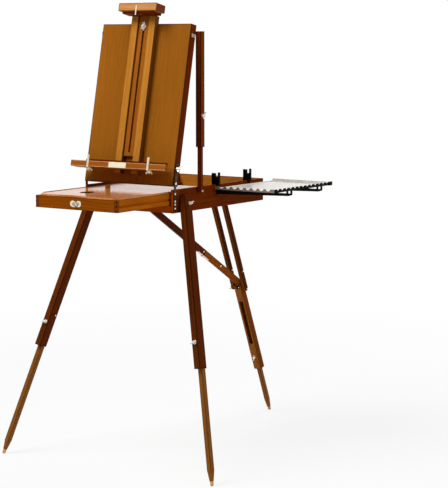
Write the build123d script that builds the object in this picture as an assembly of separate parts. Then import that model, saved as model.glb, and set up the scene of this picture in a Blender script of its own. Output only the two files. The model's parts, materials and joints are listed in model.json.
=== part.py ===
from build123d import *
import math
import os

# French easel: a sketch box on three folding legs, with a drawer and palette in
# front, a tilting canvas panel with a sliding mast and shelf, and a hooked-on
# side tray. Millimetres, +X to the painter's right, +Y away from the painter.

# Clearances shared by every fit
running_gap = 0.05
sliding_gap = 0.4
seat_gap = 0.3
cut_past = 1.0
bolt_show = 3.0

# Small bevel on the outer edges of the boards
edge_ease = 0.8

# Sketch box
box_width = 380.0
box_depth = 560.0
box_height = 80.0
box_top = 958.0
wall = 9.0
floor_panel = 5.0
floor_height = 20.0

# Drawer, shown pulled out
drawer_width = 344.0
drawer_length = 530.0
drawer_pull = 283.0
drawer_side_height = 41.0
drawer_wall = 8.0
drawer_front_thickness = 9.0
drawer_floor_thickness = 4.0
runner_height = 7.4
runner_reach = 3.5
runner_level = 16.0
divider_thickness = 5.0
divider_height = 24.0
drawer_front_bay = 170.0

# Latch plate and ring on the drawer front
latch_width = 46.0
latch_lobe = 10.5
latch_waist = 13.0
latch_thickness = 1.5
latch_screw_radius = 2.4
latch_screw_height = 1.0
latch_sink = 0.4
ring_radius = 8.0
ring_wire = 1.2
ring_gap = 0.1
ring_lug = 2.6
ring_lug_width = 2.0
ring_lift = 6.0

# Palette
palette_width = 338.0
palette_length = 500.0
palette_thickness = 6.0
palette_corner = 34.0
palette_setback = 2.0
thumb_width = 44.0
thumb_length = 58.0
thumb_offset_x = 46.0
thumb_from_front = 115.0
notch_depth = 9.0
notch_start = 45.0
notch_past_thumb = 30.0
notch_end = 40.0
notch_crown = 1.0
notch_margin = 10.0

# Canvas panel, which is also the lid of the box
lid_length = 556.0
lid_face = 4.0
lid_depth = 30.0
lid_rail_width = 12.0
lid_tilt = 11.7
lid_axis_from_front = 9.0
lid_axis_lift = 20.0
lid_axis_depth = 11.0
lid_axis_up = 9.0
lid_heel_radius = 9.0

# Strap hinges at the front corners of the box
leaf_thickness = 1.5
leaf_width = 12.0
lower_leaf_drop = 74.0
upper_leaf_length = 68.0
leaf_slot_width = 4.4
leaf_slot_length = 30.0
leaf_pin_radius = 2.0
leaf_nut_up = 60.0
leaf_slot_end = 6.0
leaf_screw_drops = (15.0, 40.0, 51.0, 64.0)
leaf_screw_radius = 3.0
leaf_screw_height = 1.2
leaf_sink = 0.5
stud_radius = 2.0
stud_depth = 8.0
stud_out = 18.0

# Hooks on the canvas panel, just below the tops of the struts
hook_drop = 25.0
hook_length = 22.0
hook_height = 12.0
hook_thickness = 1.0
hook_edge = 1.0
hook_screw_in = 5.0
hook_screw_height = 0.3
hook_sink = 0.2

# Mast rails on the panel, with the slotted bar that slides between them
mast_half_width = 52.0
mast_rail_width = 29.6
mast_thickness = 20.0
mast_bottom = 30.0
mast_top = 580.0
mast_ease = 1.5
bar_thickness = 12.0
bar_back_gap = 2.0
bar_slot_width = 8.0
bar_slot_bottom = 105.0
bar_slot_top = 552.0
bar_start = 92.0
bar_below_head = 4.0
mast_bolt_up = 545.0
mast_bolt_radius = 3.0
mast_flange_radius = 8.0
washer_half_width = 10.0
washer_half_height = 17.0
washer_thickness = 1.5

# Clamp block at the head of the bar
head_half_width = 82.0
head_front = 63.0
head_height = 28.0
head_ease = 4.0
jaw_half_width = 68.0
jaw_thickness = 7.4
jaw_front = 56.0
head_tab_width = 4.0
head_tab_thickness = 2.0
head_tab_length = 32.0
head_tab_drop = 10.0
head_tab_offset = 4.0
head_bolt_radius = 3.0

# Canvas shelf
shelf_half_width = 204.0
shelf_depth = 49.5
shelf_level = 43.0
ledge_thickness = 7.0
lip_height = 21.0
lip_thickness = 6.0
lip_ease = 2.0
shelf_back_inset = 30.0
shelf_back_height = 31.0
shelf_back_thickness = 5.0
shelf_tongue_reach = 5.0
plate_half_width = 37.0
plate_height = 19.0
plate_thickness = 1.2
plate_rise = 1.0
stop_offset = 129.0
stop_width = 8.0
stop_height = 42.0
stop_foot = 18.0
stop_thickness = 1.5
stop_drop = 2.0
stop_bolt_inset = 6.0
stop_bolt_radius = 2.5

# Wing nuts
nut_radius = 6.0
nut_height = 7.0
wing_span = 26.0
wing_height = 12.0
wing_thickness = 2.2
wing_root = 1.0
wing_tip = 2.0
nut_draft = 8.0

# Telescoping side struts
strut_from_front = 141.0
strut_pivot_drop = 13.0
strut_bar = 13.5
strut_channel = 22.0
strut_wall_gap = 1.5
strut_reach = 545.0
strut_channel_length = 394.0
strut_bar_overlap = 120.0
strut_cap = 14.0
strut_bolt_radius = 3.0
strut_bolt_outside = 4.0
strut_nut_up = 108.0

# Front legs
leg_from_front = 54.0
leg_pivot_drop = 50.0
leg_side_offset = 17.5
leg_splay = 13.4
right_leg_forward = 9.9
left_leg_forward = 15.2
left_leg_set_back = 14.0
leg_width = 24.0
leg_front_reach = 25.0
leg_back_reach = 13.0
leg_wall_clearance = 2.0
leg_channel_length = 560.0
leg_head = 34.0
leg_bar_width = 16.0
leg_bar_depth = 19.0
leg_bar_overlap = 117.0
leg_head_block = 80.0
leg_taper = 36.0
leg_tip = 9.6
leg_clamp_reach = 472.0
leg_side_screw_reach = 442.0
leg_side_screw_head = 4.0
leg_side_screw_radius = 2.5
leg_side_screw_bite = 0.5
leg_wedge_reach = 40.0
clamp_washer = 1.5
clamp_washer_radius = 7.0
clamp_bolt_show = 4.0
leg_bolt_radius = 4.0
leg_boss_radius = 13.5
leg_bolt_inside = 11.0
leg_bolt_outside = 4.0
foot_radius = 6.0
foot_length = 16.0

# Rear leg
rear_pivot_from_back = 22.0
rear_pivot_drop = 75.0
rear_lean = 22.7
rear_rail_width = 16.0
rear_rail_depth = 18.0
rear_gap = 32.8
rear_mid_width = 32.0
rear_mid_depth = 26.0
rear_mid_top = 383.0
rear_mid_bottom = 757.0
rear_fork_clearance = 13.0
rear_slot_top = 449.0
rear_cover_top = 641.0
rear_cover_thickness = 5.0
rear_bar_width = 16.0
rear_bar_depth = 14.0
rear_bar_overlap = 112.0
rear_axle_radius = 5.0
rear_bolt_radius = 3.0
rear_stub_reach = 319.0
rear_stub_show = 4.0
rear_nut_reach = 701.0

# Brace between the box and the rear leg, hinged in the middle
brace_from_front = 124.0
brace_pivot_drop = 81.0
brace_meet = 370.0
brace_front_length = 380.0
brace_tail = 62.0
brace_width = 12.0
brace_depth = 23.5
brace_axle_radius = 4.0
brace_leaf_length = 38.0
brace_leaf_thickness = 1.5
brace_knuckle_radius = 2.6
brace_knuckle_pin = 1.2
brace_break_gap = 0.6
brace_knuckle_gap = 0.3

# Brackets under the box floor that carry both axles
bracket_width = 12.0
bracket_length = 22.0
bracket_drop = 10.0
bracket_corner = 6.0

# Side tray
tray_width = 244.0
tray_length = 374.0
tray_from_wall = 7.0
tray_from_front = 240.0
tray_sheet = 1.2
tray_rim = 12.0
tray_inner_rim = 5.0
tray_tooth_pitch = 27.5
tray_notch_radius = 9.5
tray_outer_notch_radius = 7.0
tray_notch_rise = 2.0
tray_floor_drop = 16.4
arm_thickness = 8.0
arm_positions = (258.0, 457.0)
arm_reach = 310.0
arm_root_height = 17.5
arm_tip_height = 8.5
arm_hook_height = 20.0
arm_hook_gap = 12.0
arm_prong = 4.0
clip_inside = 9.0
clip_outside = 13.0
clip_rise = 42.0
clip_bridge = 26.0
clip_notch = 12.0
clip_drop = 13.0
clip_post = 5.5
clip_step = 3.0
clip_lift = 1.0
arm_tip_rise = 4.0

# Places worked out from the sizes above
half = box_width / 2
inner_half = half - wall
box_bottom = box_top - box_height
floor_low = box_bottom + floor_height
floor_top = floor_low + floor_panel
drawer_low = floor_top + 2 * sliding_gap
drawer_half = drawer_width / 2
drawer_rim = drawer_low + drawer_side_height
drawer_face = -drawer_pull
drawer_end = drawer_face + drawer_length
runner_low = drawer_low + runner_level
lid_axis = Vector(0, lid_axis_from_front, box_top + lid_axis_lift)
tilt = math.radians(lid_tilt)
lid_up = Vector(0, math.sin(tilt), math.cos(tilt))
lid_back = Vector(0, math.cos(tilt), -math.sin(tilt))
lid_foot = lid_axis - lid_up * lid_axis_up - lid_back * lid_axis_depth
lid_plane = Plane(origin=lid_foot, x_dir=(1, 0, 0), z_dir=lid_up)
bar_half_width = mast_half_width - mast_rail_width - sliding_gap
strut_x = half + strut_wall_gap + strut_channel / 2
strut_pivot_height = box_top - strut_pivot_drop
leg_pivot_height = box_top - leg_pivot_drop
leg_pivot_x = half + leg_side_offset
splay = math.radians(leg_splay)
rear_pivot = Vector(0, box_depth - rear_pivot_from_back, box_top - rear_pivot_drop)
lean = math.radians(rear_lean)
rear_down = Vector(0, math.sin(lean), -math.cos(lean))
rear_plane = Plane(origin=rear_pivot, x_dir=(1, 0, 0), z_dir=rear_down * -1)
brace_pivot = Vector(0, brace_from_front, box_top - brace_pivot_drop)
brace_target = rear_pivot + rear_down * brace_meet
brace_line = brace_target - brace_pivot
brace_way = brace_line.normalized()
brace_plane = Plane(origin=brace_pivot, x_dir=(1, 0, 0), z_dir=brace_way)
brace_rear_length = brace_line.length - brace_front_length + brace_tail


def block(x0, x1, y0, y1, z0, z1):
    """A box between any two opposite corners."""
    middle = Pos((x0 + x1) / 2, (y0 + y1) / 2, (z0 + z1) / 2)
    return middle * Box(abs(x1 - x0), abs(y1 - y0), abs(z1 - z0))


def rod(start, end, radius):
    """A round rod from one point to another."""
    start, end = Vector(start), Vector(end)
    way = end - start
    return extrude(Plane(origin=start, z_dir=way) * Circle(radius), way.length)


def mirrored(shape):
    """The same shape on the other side of the middle plane."""
    return mirror(shape, about=Plane.YZ)


def eased(shape, radius, axis=Axis.Z):
    """A block with its long edges rounded a little."""
    return fillet(shape.edges().filter_by(axis), radius)


def softened(shape, axis, ends=(-1,)):
    """A board with a bevelled outline on its outermost face along an axis, on the ends named."""
    for end in ends:
        face = shape.faces().sort_by(axis)[end]
        shape = chamfer(face.outer_wire().edges(), edge_ease)
    return shape


def wing_nut(origin, way, across, bore):
    """A wing nut that stands on a point, with its wings spread along across."""
    frame = Plane(origin=origin, x_dir=across, z_dir=way)
    body = extrude(Circle(nut_radius), nut_height, taper=nut_draft)
    ear = Plane.XZ * Polygon(
        (0, wing_root),
        (nut_radius, wing_root),
        (wing_span / 2, nut_height),
        (wing_span / 2 - wing_tip, wing_height),
        (nut_radius - wing_root, nut_height - wing_root),
        (0, nut_height - wing_root),
        align=None,
    )
    wings = extrude(ear, wing_thickness / 2, both=True)
    wings += Rot(0, 0, 180) * wings
    nut = body + wings - Cylinder(bore + running_gap, 4 * nut_height)
    return frame.location * nut


def leg_pivot_parts(side):
    """The wedge block, the bolt and nut, and the drilled hole of one front leg's pivot."""
    frame = leg_frame(side, 0)
    inner = leg_width / 2 + seat_gap
    middle = Pos(0, 0, -side * (inner + leg_wedge_reach / 2))
    wedge = frame.location * Rot(0, 90, 0) * middle * Cylinder(leg_boss_radius, leg_wedge_reach)
    wedge &= block(side * half, side * (half + leg_wedge_reach), 0, 2 * leg_from_front, box_bottom, box_top)
    start = frame.from_local_coords(Vector(-side * (inner + leg_bolt_inside), 0, 0))
    end = frame.from_local_coords(Vector(side * (inner + nut_height + leg_bolt_outside), 0, 0))
    hole = rod(start, end, leg_bolt_radius + running_gap)
    nut = frame.location * wing_nut((side * inner, 0, 0), (side, 0, 0), (0, 0.94, 0.34), leg_bolt_radius)
    return wedge - hole, [rod(start, end, leg_bolt_radius), nut], hole


def strut_pivot_parts(side):
    """The spacer, the bolt and the drilled hole of one strut's pivot."""
    y, z = strut_from_front, strut_pivot_height
    start = (side * (half - wall / 2), y, z)
    end = (side * (strut_x + strut_bar / 2 + strut_bolt_outside), y, z)
    hole = rod(start, end, strut_bolt_radius + running_gap)
    spacer = rod((side * half, y, z), (side * (strut_x - strut_bar / 2 - seat_gap), y, z), strut_bar / 2)
    return spacer - hole, rod(start, end, strut_bolt_radius), hole


def build_box():
    """The sketch box: walls, floor, drawer runners and the pivots on its sides."""
    walls = {}
    blocks = []
    bolts = []
    for side in (-1, 1):
        wedge, leg_bolt, leg_hole = leg_pivot_parts(side)
        spacer, strut_bolt, strut_hole = strut_pivot_parts(side)
        wall_board = block(side * inner_half, side * half, 0, box_depth, box_bottom, box_top)
        walls[side] = softened(wall_board, Axis.X, (0,) if side < 0 else (-1,)) - leg_hole - strut_hole
        blocks += [wedge, spacer]
        bolts += [*leg_bolt, strut_bolt]
    ears, axles = build_axles()
    front_rail = block(-inner_half, inner_half, 0, wall, box_bottom, floor_top)
    rear_wall = block(-inner_half, inner_half, box_depth - wall, box_depth, box_bottom, box_top)
    floor = block(-inner_half, inner_half, wall, box_depth - wall, floor_low, floor_top)
    runner = block(drawer_half - runner_reach, inner_half, wall, box_depth - wall, runner_low,
                   runner_low + runner_height)
    return {
        "box_left_wall": walls[-1],
        "box_right_wall": walls[1],
        "box_front_rail": front_rail,
        "box_rear_wall": rear_wall,
        "box_floor": floor,
        "drawer_runners": [runner, mirrored(runner)],
        "pivot_blocks": blocks + ears,
        "pivot_bolts": bolts + axles,
    }


def build_axles():
    """Brackets under the floor and the two axles that they carry."""
    brackets = []
    axles = []
    for pivot, reach, radius in (
        (rear_pivot, rear_gap / 2 + rear_rail_width + seat_gap, rear_axle_radius),
        (brace_pivot, brace_width / 2 + seat_gap, brace_axle_radius),
    ):
        tip = reach + bracket_width
        ear = block(reach, tip, pivot.Y - bracket_length / 2, pivot.Y + bracket_length / 2,
                    pivot.Z - bracket_drop, floor_low)
        ear = fillet(ear.edges().filter_by(Axis.X).group_by(Axis.Z)[0], bracket_corner)
        ear -= rod((-tip, pivot.Y, pivot.Z), (tip + cut_past, pivot.Y, pivot.Z), radius + running_gap)
        brackets += [ear, mirrored(ear)]
        axles.append(rod((-tip, pivot.Y, pivot.Z), (tip, pivot.Y, pivot.Z), radius))
    return brackets, axles


def build_hinges():
    """Strap hinges that carry the canvas panel above the front corners."""
    lower, upper = [], []
    y0 = lid_axis.Y - leaf_width / 2
    for side in (-1, 1):
        x0 = side * (half + seat_gap)
        x1 = side * (half + seat_gap + leaf_thickness)
        leaf = block(x0, x1, y0, y0 + leaf_width, box_top - lower_leaf_drop, lid_axis.Z)
        leaf += rod((x0, lid_axis.Y, lid_axis.Z), (x1, lid_axis.Y, lid_axis.Z), leaf_width / 2)
        leaf -= rod((x0 - side, lid_axis.Y, lid_axis.Z), (x1 + side, lid_axis.Y, lid_axis.Z),
                    leaf_pin_radius + running_gap)
        screws = None
        for drop in leaf_screw_drops:
            spot = (x1 - side * leaf_sink, lid_axis.Y, box_top - drop)
            head = rod(spot, (x1 + side * leaf_screw_height, lid_axis.Y, box_top - drop), leaf_screw_radius)
            screws = head if screws is None else screws + head
        lower.append(leaf + screws)
        outer = x1 + side * seat_gap
        strap = block(outer, outer + side * leaf_thickness, -leaf_width / 2, leaf_width / 2,
                      0, upper_leaf_length)
        strap += rod((outer, 0, 0), (outer + side * leaf_thickness, 0, 0), leaf_width / 2)
        slot_low = upper_leaf_length - leaf_slot_length - leaf_slot_end
        slot = block(outer - side * cut_past, outer + side * (leaf_thickness + cut_past),
                     -leaf_slot_width / 2, leaf_slot_width / 2, slot_low, slot_low + leaf_slot_length)
        strap -= slot
        pin_end = outer + side * (leaf_thickness + leaf_screw_height)
        pin = rod((side * (half - stud_depth), 0, 0), (pin_end, 0, 0), leaf_pin_radius)
        strap += pin
        upper.append(Plane(origin=lid_axis, x_dir=(1, 0, 0), z_dir=lid_up).location * strap)
    return {"lower_hinge_leaves": lower, "upper_hinge_leaves": upper}


def build_drawer():
    """The pulled-out drawer with its partitions and latch."""
    face_back = drawer_face + drawer_front_thickness
    front = block(-drawer_half, drawer_half, drawer_face, face_back, drawer_low, drawer_rim)
    front = softened(front, Axis.Y, (0,))
    groove_low = runner_low - sliding_gap
    groove = block(drawer_half - runner_reach - sliding_gap, drawer_half + cut_past, face_back,
                   drawer_end + cut_past, groove_low, runner_low + runner_height + sliding_gap)
    side = block(drawer_half - drawer_wall, drawer_half, face_back, drawer_end, drawer_low, drawer_rim)
    side -= groove
    side = chamfer(side.edges().filter_by(Axis.Y).group_by(Axis.Z)[-1], edge_ease)
    inside = drawer_half - drawer_wall
    back = block(-inside, inside, drawer_end - drawer_wall, drawer_end, drawer_low, drawer_rim)
    base_top = drawer_low + drawer_floor_thickness
    base = block(-inside, inside, face_back, drawer_end - drawer_wall, drawer_low, base_top)
    partitions = []
    long_y0 = face_back + drawer_front_bay
    for x in (-inside / 3, inside / 3):
        partitions.append(block(x - divider_thickness / 2, x + divider_thickness / 2,
                                long_y0 + divider_thickness, drawer_end - drawer_wall, base_top,
                                base_top + divider_height))
    partitions.append(block(-inside, inside, long_y0, long_y0 + divider_thickness, base_top,
                            base_top + divider_height))
    latch_z = (drawer_low + drawer_rim) / 2
    latch_plane = Plane(origin=(0, drawer_face, latch_z), x_dir=(1, 0, 0), z_dir=(0, -1, 0))
    screw_x = latch_width / 2 - latch_lobe
    outline = Rectangle(2 * screw_x, latch_waist) + Pos(-screw_x, 0) * Circle(latch_lobe)
    outline += Pos(screw_x, 0) * Circle(latch_lobe)
    plate = extrude(latch_plane * outline, latch_thickness)
    post_face = drawer_face - latch_thickness
    for x in (-screw_x, screw_x):
        plate += rod((x, post_face + latch_sink, latch_z), (x, post_face - latch_screw_height, latch_z),
                     latch_screw_radius)
    eye = (0, post_face - ring_lug, latch_z + ring_lift)
    lug = block(-ring_lug_width / 2, ring_lug_width / 2, eye[1] - ring_lug, post_face + latch_sink,
                eye[2] - ring_lug, eye[2] + ring_lug)
    plate += lug - rod((-ring_lug_width, eye[1], eye[2]), (ring_lug_width, eye[1], eye[2]),
                       ring_wire + ring_gap)
    ring = Pos(0, eye[1], eye[2] - ring_radius) * Rot(90, 0, 0) * Torus(ring_radius, ring_wire)
    return {
        "drawer_front": front,
        "drawer_sides": [side, mirrored(side)],
        "drawer_back": back,
        "drawer_floor": base,
        "drawer_partitions": partitions,
        "drawer_latch_plate": plate,
        "drawer_ring": ring,
    }


def build_palette():
    """The flat palette that lies on the drawer, with a thumb hole and a wavy front edge."""
    w = palette_width / 2
    y0 = drawer_face + palette_setback
    y1 = y0 + palette_length
    c = palette_corner
    front = Spline(
        (-w + c, y0),
        (-w + c + notch_start, y0),
        (-thumb_offset_x + notch_past_thumb, y0 + notch_depth),
        (notch_end, y0 + notch_crown),
        (w - c - notch_margin, y0),
        tangents=((1, 0), (1, 0)),
    )
    outline = [
        front,
        Line((w - c - notch_margin, y0), (w - c, y0)),
        RadiusArc((w - c, y0), (w, y0 + c), -c),
        Line((w, y0 + c), (w, y1 - c)),
        RadiusArc((w, y1 - c), (w - c, y1), -c),
        Line((w - c, y1), (-w + c, y1)),
        RadiusArc((-w + c, y1), (-w, y1 - c), -c),
        Line((-w, y1 - c), (-w, y0 + c)),
        RadiusArc((-w, y0 + c), (-w + c, y0), -c),
    ]
    board = extrude(make_face(Wire(outline)), palette_thickness)
    hole = Pos(-thumb_offset_x, y0 + thumb_from_front, 0) * extrude(
        Ellipse(thumb_width / 2, thumb_length / 2), 4 * palette_thickness, both=True
    )
    board -= hole
    return {"palette": Pos(0, 0, drawer_rim) * board}


def heeled(rail):
    """A lid rail whose lower rear edge is rounded so that it clears the box as it turns."""
    return fillet(rail.edges().filter_by(Axis.X).group_by(Axis.Z)[0].sort_by(Axis.Y)[-1], lid_heel_radius)


def build_lid():
    """The canvas panel: a plywood face on a frame of four rails."""
    panel = softened(block(-half, half, 0, lid_face, 0, lid_length), Axis.Y, (0,))
    side = heeled(block(half - lid_rail_width, half, lid_face, lid_depth, 0, lid_length))
    stud = rod((half - stud_depth, lid_axis_depth, leaf_nut_up),
               (half + stud_out, lid_axis_depth, leaf_nut_up), stud_radius)
    for up, radius in ((lid_axis_up, leaf_pin_radius), (leaf_nut_up, stud_radius)):
        side -= rod((half - stud_depth - cut_past, lid_axis_depth, up),
                    (half + cut_past, lid_axis_depth, up), radius + running_gap)
    inner = half - lid_rail_width
    cross = block(-inner, inner, lid_face, lid_depth, 0, lid_rail_width)
    top = Pos(0, 0, lid_length - lid_rail_width) * cross
    cross = heeled(cross)
    nut_foot = half + 2 * (seat_gap + leaf_thickness) + seat_gap
    nut = wing_nut((nut_foot, lid_axis_depth, leaf_nut_up), (1, 0, 0), (0, 0.5, 0.866), stud_radius)
    strut_top = lid_plane.to_local_coords(Vector(0, strut_from_front, strut_pivot_height + strut_reach))
    hook_up = strut_top.Z - hook_drop
    hook = block(half, half + hook_thickness, lid_depth - hook_length, lid_depth - hook_edge,
                 hook_up, hook_up + hook_height)
    screw_spot = (lid_depth - hook_screw_in, hook_up + hook_height / 2)
    hook += rod((half + hook_thickness - hook_sink, *screw_spot),
                (half + hook_thickness + hook_screw_height, *screw_spot), leaf_screw_radius)
    fittings = [stud, nut, hook]
    return {
        "lid_panel": panel,
        "lid_rails": [side, mirrored(side), cross, top],
        "lid_fittings": fittings + [mirrored(piece) for piece in fittings],
    }


def build_mast():
    """Two rails on the panel, and the slotted bar with the head clamp."""
    inner = mast_half_width - mast_rail_width
    rail = eased(block(inner, mast_half_width, -mast_thickness, 0, mast_bottom, mast_top),
                 mast_ease)
    bolt_y = -bar_back_gap - bar_thickness - washer_thickness - seat_gap
    bolt = rod((0, 0, mast_bolt_up), (0, bolt_y - nut_height - bolt_show, mast_bolt_up), mast_bolt_radius)
    bolt += rod((0, 0, mast_bolt_up), (0, -bar_back_gap + seat_gap, mast_bolt_up), mast_flange_radius)
    diamond = Polygon((-washer_half_width, 0), (0, -washer_half_height), (washer_half_width, 0),
                      (0, washer_half_height), align=None)
    washer = extrude(Plane(origin=(0, bolt_y + washer_thickness, mast_bolt_up), x_dir=(1, 0, 0),
                           z_dir=(0, -1, 0)) * diamond, washer_thickness)
    washer -= rod((0, 0, mast_bolt_up), (0, bolt_y - cut_past, mast_bolt_up),
                  mast_bolt_radius + running_gap)
    nut = wing_nut((0, bolt_y - running_gap, mast_bolt_up), (0, -1, 0), (0.35, 0, 1), mast_bolt_radius)
    head_low = mast_top + jaw_thickness + 2 * seat_gap
    head_top = head_low + head_height
    bar = block(-bar_half_width, bar_half_width, -bar_back_gap - bar_thickness, -bar_back_gap, bar_start,
                head_top - bar_below_head)
    back = -bar_back_gap - bar_thickness
    slot = block(-bar_slot_width / 2, bar_slot_width / 2, back - cut_past, 0, bar_slot_bottom, bar_slot_top)
    bar -= fillet(slot.edges().filter_by(Axis.Y), bar_slot_width / 2 - running_gap)
    head = block(-head_half_width, head_half_width, -head_front, back, head_low, head_top)
    head = softened(fillet(head.edges().filter_by(Axis.Y), head_ease), Axis.Y, (0,))
    jaw = softened(block(-jaw_half_width, jaw_half_width, -jaw_front, back, mast_top + seat_gap,
                         mast_top + seat_gap + jaw_thickness), Axis.Y, (0,))
    bolt_at = (back - head_front) / 2
    head_bolt = rod((0, bolt_at, mast_top + seat_gap), (0, bolt_at, head_top + nut_height + bolt_show),
                    head_bolt_radius)
    bore = rod((0, bolt_at, mast_top - cut_past), (0, bolt_at, head_top + cut_past),
               head_bolt_radius + running_gap)
    head -= bore
    jaw -= bore
    tab_top = head_top - head_tab_drop
    tab = block(-head_tab_offset - head_tab_width / 2, -head_tab_offset + head_tab_width / 2,
                -head_front - head_tab_thickness, -head_front, tab_top - head_tab_length, tab_top)
    head_nut = wing_nut((0, bolt_at, head_top), (0, 0, 1), (1, 0.3, 0), head_bolt_radius)
    return {
        "mast_rails": [rail, mirrored(rail)],
        "mast_bolt": [bolt, washer],
        "mast_wing_nut": nut,
        "mast_bar": bar,
        "head_block": head,
        "head_jaw": jaw,
        "head_bolt": [head_bolt, tab],
        "head_wing_nut": head_nut,
    }


def build_shelf():
    """The shelf that carries the canvas, riding in front of the mast rails."""
    back = -mast_thickness - seat_gap
    front = back - shelf_depth
    low = shelf_level
    ledge = block(-shelf_half_width, shelf_half_width, front + lip_thickness, back - shelf_back_thickness,
                  low, low + ledge_thickness)
    lip = block(-shelf_half_width, shelf_half_width, front, front + lip_thickness, low, low + lip_height)
    lip = fillet(lip.edges().filter_by(Axis.X).group_by(Axis.Z)[-1], lip_ease)
    board_half = shelf_half_width - shelf_back_inset
    board = block(-board_half, board_half, back - shelf_back_thickness, back, low, low + shelf_back_height)
    tongue_half = mast_half_width - mast_rail_width - sliding_gap
    tongue = block(-tongue_half, tongue_half, back, back + shelf_tongue_reach, low, low + shelf_back_height)
    board += tongue
    plate = block(-plate_half_width, plate_half_width, front - plate_thickness, front, low + plate_rise,
                  low + plate_rise + plate_height)
    stops = []
    bolt_y = front + stop_foot - stop_bolt_inset
    stop_low = low - stop_drop
    for x in (-stop_offset, stop_offset):
        tab = block(x - stop_width / 2, x + stop_width / 2, front - stop_thickness, front, stop_low,
                    low + stop_height)
        tab += block(x - stop_width / 2, x + stop_width / 2, front - stop_thickness, front + stop_foot,
                     stop_low, stop_low + stop_thickness)
        tab += rod((x, bolt_y, low + ledge_thickness - cut_past),
                   (x, bolt_y, stop_low - nut_height - bolt_show), stop_bolt_radius)
        stops.append(tab)
        stops.append(wing_nut((x, bolt_y, stop_low - running_gap), (0, 0, -1), (1, 0.2, 0),
                              stop_bolt_radius))
        ledge -= rod((x, bolt_y, low - cut_past), (x, bolt_y, low + ledge_thickness + cut_past),
                     stop_bolt_radius + running_gap)
    return {
        "shelf_ledge": ledge,
        "shelf_lip": lip,
        "shelf_back": board,
        "shelf_nameplate": plate,
        "canvas_stops": stops,
    }


def strut_local(side):
    """One strut with its pivot at the origin and its length along +Z."""
    hub = strut_bar / 2
    bar_top = strut_reach - strut_channel_length + strut_bar_overlap
    bar = block(-hub, hub, -hub, hub, 0, bar_top)
    bar += rod((-hub, 0, 0), (hub, 0, 0), hub)
    bar -= rod((-2 * hub, 0, 0), (2 * hub, 0, 0), strut_bolt_radius + running_gap)
    low = strut_reach - strut_channel_length
    wide = strut_channel / 2
    bore = hub + sliding_gap
    nut_up = low + strut_nut_up
    bolt_start = (side * (bore + seat_gap), 0, nut_up)
    bolt_end = (side * (wide + nut_height + strut_bolt_outside), 0, nut_up)
    outward = -1 if side > 0 else 0
    outer = softened(block(side * bore, side * wide, -wide, wide, low, strut_reach), Axis.X, (outward,))
    outer -= rod((0, 0, nut_up), bolt_end, strut_bolt_radius + running_gap)
    inner = softened(block(-side * wide, -side * bore, -wide, wide, low, strut_reach), Axis.X,
                     (-1 - outward,))
    front = block(-bore, bore, -wide, -bore, low, strut_reach)
    back = block(-bore, bore, bore, wide, low, strut_reach)
    cap = block(-bore, bore, -bore, bore, strut_reach - strut_cap, strut_reach)
    bolt = rod(bolt_start, bolt_end, strut_bolt_radius)
    nut = wing_nut((side * wide, 0, nut_up), (side, 0, 0), (0, 0.5, 0.866), strut_bolt_radius)
    return bar, [outer, inner, front, back, cap], [bolt, nut]


def build_struts():
    """Both telescoping struts beside the box."""
    parts = {}
    for side, name in ((-1, "left"), (1, "right")):
        bar, shell, clamp = strut_local(side)
        place = Pos(side * strut_x, strut_from_front, strut_pivot_height)
        parts[f"{name}_strut_bar"] = place * bar
        parts[f"{name}_strut_channel"] = placed(place, shell)
        parts[f"{name}_strut_clamp"] = placed(place, clamp)
    return parts


def leg_frame(side, forward):
    """The frame of a front leg at its pivot: local X along the bolt, local Z up the leg."""
    lead = math.radians(forward)
    level = math.cos(lead)
    down = Vector(side * math.sin(splay) * level, -math.sin(lead), -math.cos(splay) * level)
    bolt_way = Vector(math.cos(splay), 0, side * math.sin(splay))
    set_back = left_leg_set_back if side < 0 else 0
    origin = Vector(side * leg_pivot_x, leg_from_front + set_back, leg_pivot_height)
    return Plane(origin=origin, x_dir=bolt_way, z_dir=down * -1)


def tapered_bar(width, depth, top, bottom, tip, taper):
    """A bar whose lower end narrows to a square tip."""
    shaft = block(-width / 2, width / 2, -depth / 2, depth / 2, bottom + taper, top)
    cone = loft([
        Plane.XY.offset(bottom + taper) * Rectangle(width, depth),
        Plane.XY.offset(bottom) * Rectangle(tip, tip),
    ])
    return shaft + cone


def foot_plug(reach):
    """A soft rounded plug on the tip of a leg, whose lowest ball is centred at reach."""
    plug = rod((0, 0, -reach), (0, 0, -reach + foot_length - foot_radius), foot_radius)
    return plug + Pos(0, 0, -reach) * Sphere(foot_radius)


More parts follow.
